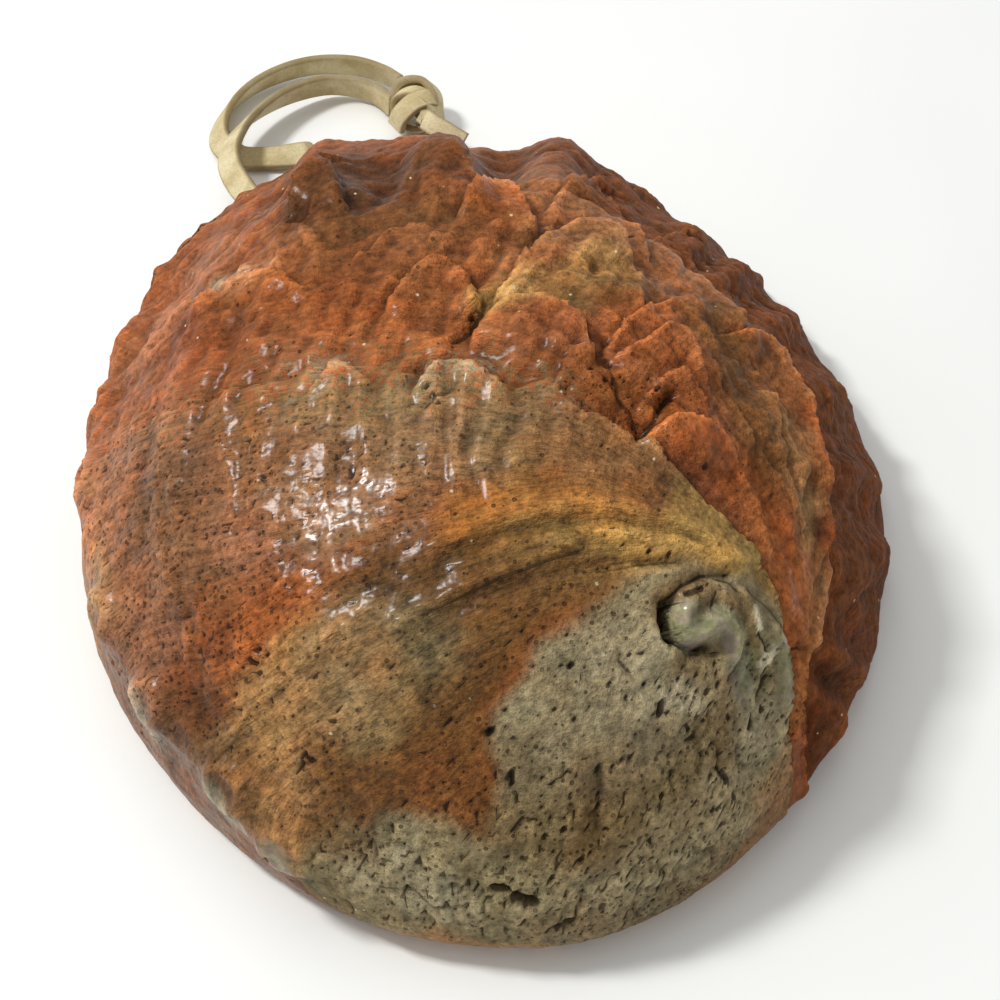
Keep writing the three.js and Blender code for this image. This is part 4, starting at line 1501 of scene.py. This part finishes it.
def store_colour(name, values):
    full = np.ones((total, 4))
    full[:, :3] = linear(PALE)
    full[: len(base), :3] = values
    attribute = shell_mesh.attributes.new(name, "FLOAT_COLOR", "POINT")
    attribute.data.foreach_set("color", full[used].astype(np.float32).ravel())


store_colour("tint_old", old_colour)
store_colour("tint_new", new_colour)
for name, values in {
    "age": age, "cords": cords, "bored": np.clip(bored, 0, 1), "chalky": np.clip(chalky, 0, 1),
    "pearl": pearl, "gloss": gloss, "edge": edge, "polished": polished, "crack_shade_on": crack_shade_on,
}.items():
    store(name, values)
store("pit", pit_field, -1.0)
store("crack", crack, CRACK_REACH)
METRE_IN_MM = 1000


class Nodes:
    """A new material, with short ways to add nodes to it."""

    def __init__(self, name):
        self.material = bpy.data.materials.new(name)
        self.material.use_nodes = True
        self.tree = self.material.node_tree
        self.tree.nodes.clear()
        self.output = self.tree.nodes.new("ShaderNodeOutputMaterial")

    def add(self, kind, settings=None, **inputs):
        node = self.tree.nodes.new("ShaderNode" + kind)
        for key, value in (settings or {}).items():
            setattr(node, key, value)
        for key, value in inputs.items():
            self.put(node, key, value)
        return node

    def put(self, node, key, value):
        """Sets or links an input, named in words or numbered."""
        socket = node.inputs[key if isinstance(key, int) else key.replace("_", " ")]
        if isinstance(value, bpy.types.NodeSocket):
            self.tree.links.new(value, socket)
        else:
            socket.default_value = value

    def math(self, operation, a, b=0.0, c=0.0):
        node = self.tree.nodes.new("ShaderNodeMath")
        node.operation = operation
        for key, item in enumerate((a, b, c)):
            self.put(node, key, item)
        return node.outputs[0]

    def attribute(self, name, output="Fac"):
        node = self.tree.nodes.new("ShaderNodeAttribute")
        node.attribute_name = name
        return node.outputs[output]

    def times(self, a, b):
        return self.math("MULTIPLY", a, b)

    def times_plus(self, a, b, c):
        return self.math("MULTIPLY_ADD", a, b, c)

    def minus(self, a, b):
        return self.math("SUBTRACT", a, b)

    def largest(self, a, b):
        return self.math("MAXIMUM", a, b)

    def mix(self, factor, a, b):
        node = self.tree.nodes.new("ShaderNodeMix")
        node.data_type = "RGBA"
        for key, item in ((0, factor), (6, a), (7, b)):
            self.put(node, key, item)
        return node.outputs[2]

    def ramp(self, value, low, high, out_low=0.0, out_high=1.0):
        """A smooth step from one value to another."""
        node = self.tree.nodes.new("ShaderNodeMapRange")
        node.interpolation_type = "SMOOTHSTEP"
        for key, item in zip(range(5), (value, low, high, out_low, out_high)):
            self.put(node, key, item)
        return node.outputs[0]

    def noise(self, vector, scale, detail=4.0, roughness=0.55, dimensions="3D", distortion=0.0):
        node = self.add("TexNoise", {"noise_dimensions": dimensions}, Vector=vector, Scale=scale,
                        Detail=detail, Roughness=roughness, Distortion=distortion)
        return node.outputs[0]

    def colour_ramp(self, value, stops):
        """Colours at positions, given in order."""
        node = self.add("ValToRGB", Fac=value)
        elements = node.color_ramp.elements
        for element, (position, colour) in zip(elements, (stops[0], stops[-1])):
            element.position, element.color = position, rgb(colour)
        for position, colour in stops[1:-1]:
            elements.new(position).color = rgb(colour)
        return node.outputs[0]

    def bump(self, height, strength, depth):
        return self.add("Bump", Height=height, Strength=strength, Distance=depth).outputs[0]

    def place(self, scale=METRE_IN_MM):
        """The object's own coordinates, in millimetres unless scaled otherwise."""
        where = self.add("TexCoord").outputs["Object"]
        return self.add("Mapping", Vector=where, Scale=(scale, scale, scale)).outputs[0]

    def finish(self, **inputs):
        """Adds the surface shader and gives back the material."""
        shader = self.add("BsdfPrincipled", **inputs)
        self.tree.links.new(shader.outputs[0], self.output.inputs[0])
        return self.material


def rgb(colour):
    return (*linear(colour), 1.0)


# noises of the shell's outside: scale, detail, roughness
LINE_GRAIN = (2.0, 3.0, 0.7)
MOTTLE_GRAIN = (0.8, 3.0, 0.7)
WAVE_GRAIN = (0.42, 1.5, 0.6)
PEARL_GRAIN = (0.22, 2.0, 0.5)
CORD_STRETCH = 2.2
DOT_SCALE = 0.95
SMALL_RELIEF = 0.001
LINE_CONTRAST = 1.5
MOTTLE_CONTRAST = 2.2
DARKEST = 0.35
# how far the mottling moves the edges of what is drawn
REST_RAGGED = 6.0
DOT_RAGGED = 0.4
PIT_RAGGED = 0.3
CRACK_RAGGED = 2.0
LEAST_DOT = 0.06
DOT_RANGE = 0.3
# the painted shade in the dots
DOT_SHADE = 0.72
FLECK_PALE = 0.8
# how far pits and cracks go to the colour of their painted shade
PIT_SHADE_MIX = 0.92
PEARL_MIX = 0.7
GLOSS = 0.9
# steps: where they start and end, and the values there if they aren't 0 and 1
CHALK_STEP = (0.2, 1.0, 1.0, 0.25)
NEWER_STEP = (-0.5, 1.5, 1.0, 0.55)
REST_STEP = (-0.7, 0.7)
PRESENT_STEP = (-0.03, 0.03)
DOT_STEP = (-0.04, 0.05)
DOT_STRENGTH_STEP = (0.0, 0.8, 0.35, 1.0)
FLECK_STEP = (-0.02, 0.06)
FLECK_DRAW_STEP = (0.985, 0.99)
PIT_STEP = (-0.12, 0.22)
DEEP_STEP = (0.2, 0.6, 0.0, 0.9)
CRACK_STEP = (0.7, 1.6, 1.0, 0.0)
BUMP_STEP = (0.1, 0.9, 0.85, 0.4)
COAT_BUMP_STEP = (0.1, 0.9, 0.2, 0.16)
ROUGHNESS_STEP = (0.35, 0.65, 0.38, 0.6)
PEARL_STOPS = [
    (0.32, (98, 106, 66)), (0.44, (124, 122, 88)), (0.52, (132, 112, 110)),
    (0.6, (138, 136, 104)), (0.7, (166, 164, 132)),
]


def shell_material():
    n = Nodes("abalone_outside")
    place = n.place()
    bored_value, chalky_value, pearl_value, gloss_value, edge_value, polished_value, pit_value = (
        n.attribute(name)
        for name in ("bored", "chalky", "pearl", "gloss", "edge", "polished", "pit")
    )

    # growth lines and mottling
    stretched_cords = n.times(n.attribute("cords"), CORD_STRETCH)
    grown = n.add("CombineXYZ", X=n.attribute("age"), Y=stretched_cords).outputs[0]
    lines = n.noise(grown, *LINE_GRAIN, "2D")
    mottle = n.noise(place, *MOTTLE_GRAIN)
    lined = n.times(n.ramp(chalky_value, *CHALK_STEP), n.ramp(edge_value, *NEWER_STEP))
    lines_part = n.times(n.minus(lines, 0.5), lined)
    mottle_part = n.minus(mottle, 0.5)
    value = n.times_plus(mottle_part, MOTTLE_CONTRAST, 1.0)
    value = n.largest(n.times_plus(lines_part, LINE_CONTRAST, value), DARKEST)

    # the ragged rest mark
    newer_value = n.ramp(n.times_plus(mottle_part, REST_RAGGED, edge_value), *REST_STEP)
    tint = n.mix(newer_value, n.attribute("tint_old", "Color"), n.attribute("tint_new", "Color"))
    scaled = n.add("VectorMath", {"operation": "SCALE"}, Scale=value)
    n.put(scaled, 0, tint)

    # small pits: a share of the cells of a lattice holds a dot of painted shade, and a few hold a
    # pale fleck
    cells = n.add("TexVoronoi", Vector=place, Scale=DOT_SCALE)
    size_draw, presence_draw, depth_draw = n.add(
        "SeparateColor", Color=cells.outputs["Color"]
    ).outputs
    present = n.ramp(n.minus(bored_value, presence_draw), *PRESENT_STEP)
    inside = n.minus(n.times_plus(size_draw, DOT_RANGE, LEAST_DOT), cells.outputs["Distance"])
    inside = n.times_plus(mottle_part, DOT_RAGGED, inside)
    dot = n.times(n.ramp(inside, *DOT_STEP), present)
    dot = n.times(dot, n.ramp(depth_draw, *DOT_STRENGTH_STEP))
    fleck = n.times(n.ramp(inside, *FLECK_STEP), n.ramp(depth_draw, *FLECK_DRAW_STEP))

    # the pits that the mesh holds, drawn sharp, and the cracks, all darkened with painted shade
    pit_edge = n.times_plus(mottle_part, PIT_RAGGED, pit_value)
    pit = n.ramp(pit_edge, *PIT_STEP)
    crack_at = n.times_plus(mottle_part, CRACK_RAGGED, n.attribute("crack"))
    crack_gap = n.math("ABSOLUTE", crack_at)
    crack_shade_line = n.times(n.ramp(crack_gap, *CRACK_STEP), n.attribute("crack_shade_on"))
    dark = n.largest(n.largest(dot, pit), crack_shade_line)
    deep = n.largest(n.ramp(pit_edge, *DEEP_STEP), crack_shade_line)
    # how dark the painted shade is: the dots less, deep pits and cracks most
    painted_pit_shade = n.largest(n.times(dark, DOT_SHADE), deep)

    colour = n.mix(n.times(fleck, FLECK_PALE), scaled.outputs[0], rgb(CREAM))
    colour = n.mix(n.times(painted_pit_shade, PIT_SHADE_MIX), colour, rgb(PIT_SHADE_COLOUR))
    pearly = n.colour_ramp(n.noise(place, *PEARL_GRAIN, distortion=1.5), PEARL_STOPS)
    colour = n.mix(n.times(pearl_value, PEARL_MIX), colour, pearly)

    # relief below the mesh's own
    relief_value = n.times_plus(mottle_part, 0.9, n.times(lines_part, 0.55))
    relief_value = n.times_plus(dark, -0.5, relief_value)
    calm = n.ramp(polished_value, *BUMP_STEP)

    # the gloss follows gentler waves, so it breaks up into glints
    waves = n.times_plus(pit_value, -0.25, n.noise(place, *WAVE_GRAIN))
    coat_calm = n.ramp(polished_value, *COAT_BUMP_STEP)
    return n.finish(
        Base_Color=colour, Roughness=n.ramp(mottle, *ROUGHNESS_STEP),
        Normal=n.bump(relief_value, calm, SMALL_RELIEF), Specular_IOR_Level=0.03,
        Coat_Weight=n.times(gloss_value, GLOSS), Coat_Roughness=0.22, Coat_IOR=1.45,
        Coat_Normal=n.bump(waves, coat_calm, SMALL_RELIEF),
    )


NACRE_STOPS = [
    (0.30, (210, 214, 206)), (0.42, (150, 196, 190)), (0.5, (196, 214, 176)),
    (0.56, (222, 176, 190)), (0.64, (160, 176, 214)), (0.75, (232, 228, 218)),
]
SWIRL_GRAIN = (0.05, 5.0, 0.55)
RIPPLE_GRAIN = (0.12, 3.0, 0.5)
RIPPLE_DEPTH = 0.0012


def nacre_material():
    n = Nodes("abalone_nacre")
    place = n.place()
    swirl = n.noise(place, *SWIRL_GRAIN, distortion=2.5)
    ripple = n.noise(place, *RIPPLE_GRAIN)
    return n.finish(
        Base_Color=n.colour_ramp(swirl, NACRE_STOPS), Roughness=0.22, Metallic=0.35,
        Normal=n.bump(ripple, 0.5, RIPPLE_DEPTH), Coat_Weight=0.3, Coat_Roughness=0.1,
    )


shell_mesh.materials.append(shell_material())
shell_mesh.materials.append(nacre_material())
# faces that touch the outside grid take the outside's material
is_outside = (np.arange(total) < len(base))[used]
loops = np.zeros(len(shell_mesh.loops), int)
shell_mesh.loops.foreach_get("vertex_index", loops)
starts = np.zeros(len(shell_mesh.polygons), int)
shell_mesh.polygons.foreach_get("loop_start", starts)
slot_of = (~np.logical_or.reduceat(is_outside[loops], starts)).astype(np.int32)
shell_mesh.polygons.foreach_set("material_index", slot_of)
shell_mesh.update()

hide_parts("shell")
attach(shell, "root")

# The lace
LEATHER_DARK = (198, 180, 130)
LEATHER_LIGHT = (228, 214, 172)
LEATHER_GRAIN = (120, 98, 54)
LEATHER_EDGE = (112, 90, 50)
CLOUD_NOISE = (0.12, 4.0, 0.6)
GRAIN_NOISE = (1.8, 4.0, 0.6)
GRAIN_DEPTH = 0.0003
CLOUD_STEP = (0.35, 0.65)
GRAIN_STEP = (0.3, 0.7, 0.25, 0.0)
EDGE_MIX = 0.7


def leather_material():
    n = Nodes("lace_leather")
    place = n.place()
    cloudy = n.noise(place, *CLOUD_NOISE)
    grain = n.noise(place, *GRAIN_NOISE)
    colour = n.mix(n.ramp(cloudy, *CLOUD_STEP), rgb(LEATHER_DARK), rgb(LEATHER_LIGHT))
    colour = n.mix(n.ramp(grain, *GRAIN_STEP), colour, rgb(LEATHER_GRAIN))
    colour = n.mix(n.times(n.attribute("edge"), EDGE_MIX), colour, rgb(LEATHER_EDGE))
    bump = n.bump(grain, 0.5, GRAIN_DEPTH)
    return n.finish(Base_Color=colour, Roughness=0.62, Normal=bump)


leather = leather_material()
STRAP_WIDTH = 6.0
STRAP_THICKNESS = 1.8
# the way the strap's width points at each route point
LACE_WIDTH_WAY = [
    (0, 0.2, 1), (0, -0.1, 1), (0, -0.2, 1), (0.3, -0.2, 1), (0.8, 0, 1), (1.0, 0.1, 0.8),
    (1.0, 0.2, 0.7), (1.0, 0.2, 0.7), (0.6, 0, 1), (0.2, -0.2, 1), (-0.2, 0, 1), (-0.3, 0, 1),
    (-0.6, 0.2, 1), (-0.3, 1, 0.6), (0, 1, 0.25), (0.1, 1, 0.3), (0.9, 0.3, 0.8), (0.7, 0, 1),
    (0.3, -0.3, 1), (0, -0.3, 1), (-0.1, -0.2, 1), (-0.2, -0.1, 1), (-0.2, 0, 1),
]


CORNER_SHARE = 0.7
CORNER_STEPS = 3
WORN_EDGE = 0.7


def strap_section(width, thickness):
    """A flat section with rounded edges."""
    half_w, half_t = width / 2, thickness / 2
    corner = min(half_t, half_w) * CORNER_SHARE
    made = []
    for x_sign, y_sign, start in ((1, 1, 0), (-1, 1, 90), (-1, -1, 180), (1, -1, 270)):
        centre_x = x_sign * (half_w - corner)
        centre_y = y_sign * (half_t - corner)
        for k in range(CORNER_STEPS + 1):
            turn = math.radians(start + 90 * k / CORNER_STEPS)
            made.append((centre_x + corner * math.cos(turn), centre_y + corner * math.sin(turn)))
    return made


def unit_tangents(line):
    tangents = np.gradient(line, axis=0)
    return tangents / np.linalg.norm(tangents, axis=1, keepdims=True)


def strap(name, line, ways, width, thickness):
    """A mesh strap along a line, with a way for its width at each point."""
    tangents = unit_tangents(line)
    section = strap_section(width, thickness)
    points, edges = [], []
    previous = None
    for k in range(len(line)):
        way = ways[k] - (ways[k] @ tangents[k]) * tangents[k]
        way /= np.linalg.norm(way)
        if previous is not None and way @ previous < 0:
            way = -way
        previous = way
        flat = np.cross(tangents[k], way)
        for across, through in section:
            points.append(line[k] + way * across + flat * through)
            edges.append(abs(across) / (width / 2))
    count = len(section)
    faces = []
    for k in range(len(line) - 1):
        here, there = k * count, (k + 1) * count
        for j in range(count):
            after = (j + 1) % count
            faces.append((here + j, here + after, there + after, there + j))
    last = (len(line) - 1) * count
    faces.append(tuple(range(count))[::-1])
    faces.append(tuple(last + j for j in range(count)))
    mesh = bpy.data.meshes.new(name)
    mesh.from_pydata((np.array(points) * MM).tolist(), [], faces)
    attribute = mesh.attributes.new("edge", "FLOAT", "POINT")
    worn = smooth(np.array(edges), WORN_EDGE, 1.0)
    attribute.data.foreach_set("value", worn.astype(np.float32))
    finish_mesh(mesh)
    mesh.materials.append(leather)
    return add_object(name, mesh)


route_turns = np.linspace(0, 1, len(LACE_ROUTE))
line_turns = np.linspace(0, 1, len(lace_line))
ways = np.stack(
    [np.interp(line_turns, route_turns, [w[k] for w in LACE_WIDTH_WAY]) for k in range(3)], -1
)
lace = strap("lace_strap", lace_line, ways, STRAP_WIDTH, STRAP_THICKNESS)
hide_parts("lace")
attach(lace, "root")

# the knot: wraps of the same strap round each other, with two short ends
KNOT_CENTRE = np.array([-16.5, 112.5, 4.8])
KNOT_STEPS = 70
KNOT_STRAP_WIDTH = 5.0
KNOT_WRAPS = [
    [(-22, 117, 4.5), (-20, 119, 8), (-15, 118, 9.2), (-12, 114, 8), (-12.5, 110.5, 4),
     (-17, 110, 1.5),
     (-21, 112, 3), (-21.5, 114.5, 7), (-17.5, 114, 9.4), (-13, 111, 8.2), (-12, 107.5, 4.5),
     (-12.5, 104.5, 2.5)],
    [(-20.4, 121, 5.5), (-17, 119.5, 5), (-14.5, 115, 5), (-15, 110, 5.5), (-14, 106.5, 6.8),
     (-10, 103.5, 6.0), (-5.5, 101.5, 4.2)],
    [(-12, 113.5, 6.5), (-13.5, 112, 9), (-17, 110.3, 9.2), (-20.5, 108.5, 6.5),
     (-21.5, 108.5, 3.5)],
    [(-20.5, 117, 6), (-18, 114.5, 6.2), (-15.5, 111.5, 6), (-13.5, 108, 5.5)],
]
for number, wrap in enumerate(KNOT_WRAPS):
    wrap_line = curve_through(wrap, KNOT_STEPS)
    sideways = np.cross(unit_tangents(wrap_line), wrap_line - KNOT_CENTRE)
    piece = strap(
        f"lace_knot_wrap_{number}", wrap_line, sideways, KNOT_STRAP_WIDTH, STRAP_THICKNESS
    )
    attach(piece, "root")
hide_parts("lace_knot")

# The floor and the light, in metres and watts
FLOOR = 3.0
FLOOR_GRAIN = (6.0, 2.0)
FLOOR_DARK = (236, 237, 234)
FLOOR_LIGHT = (242, 243, 240)
FLOOR_STEP = (0.3, 0.7)
WORLD_STRENGTH = 0.52
WINDOW_PLACE = (-0.62, 0.10, 0.90)
WINDOW_TARGET = (-0.02, -0.05, 0.05)
WINDOW_SIZE = (0.15, 0.19)
WINDOW_POWER = 8.0
CEILING_PLACE = (-0.70, 0.80, 1.7)
CEILING_TARGET = (0, 0, 0.02)
CEILING_SIZE = (2.2, 2.2)
CEILING_POWER = 10.0


def floor_material():
    n = Nodes("floor_paint")
    clouds = n.noise(n.place(1), *FLOOR_GRAIN)
    colour = n.mix(n.ramp(clouds, *FLOOR_STEP), rgb(FLOOR_DARK), rgb(FLOOR_LIGHT))
    return n.finish(Base_Color=colour, Roughness=0.35)


def area_light(name, place, target, size, power):
    data = bpy.data.lights.new(name, "AREA")
    data.shape = "RECTANGLE"
    data.size, data.size_y = size
    data.energy = power
    made = add_object(name, data)
    aim(made, place, Vector(target) - Vector(place))
    return made


floor_mesh = bpy.data.meshes.new("floor")
floor_corners = [(-FLOOR, -FLOOR, 0), (FLOOR, -FLOOR, 0), (FLOOR, FLOOR, 0), (-FLOOR, FLOOR, 0)]
floor_mesh.from_pydata(floor_corners, [], [(0, 1, 2, 3)])
floor_mesh.materials.append(floor_material())
floor = add_object("floor", floor_mesh)

world = bpy.data.worlds.new("world")
bpy.context.scene.world = world
world.use_nodes = True
background = world.node_tree.nodes["Background"]
background.inputs["Color"].default_value = rgb(SNOW)
background.inputs["Strength"].default_value = WORLD_STRENGTH
area_light("window", WINDOW_PLACE, WINDOW_TARGET, WINDOW_SIZE, WINDOW_POWER)
ceiling = area_light("ceiling", CEILING_PLACE, CEILING_TARGET, CEILING_SIZE, CEILING_POWER)
ceiling.visible_glossy = False
bpy.context.scene.view_settings.view_transform = "Standard"
bpy.context.view_layer.update()
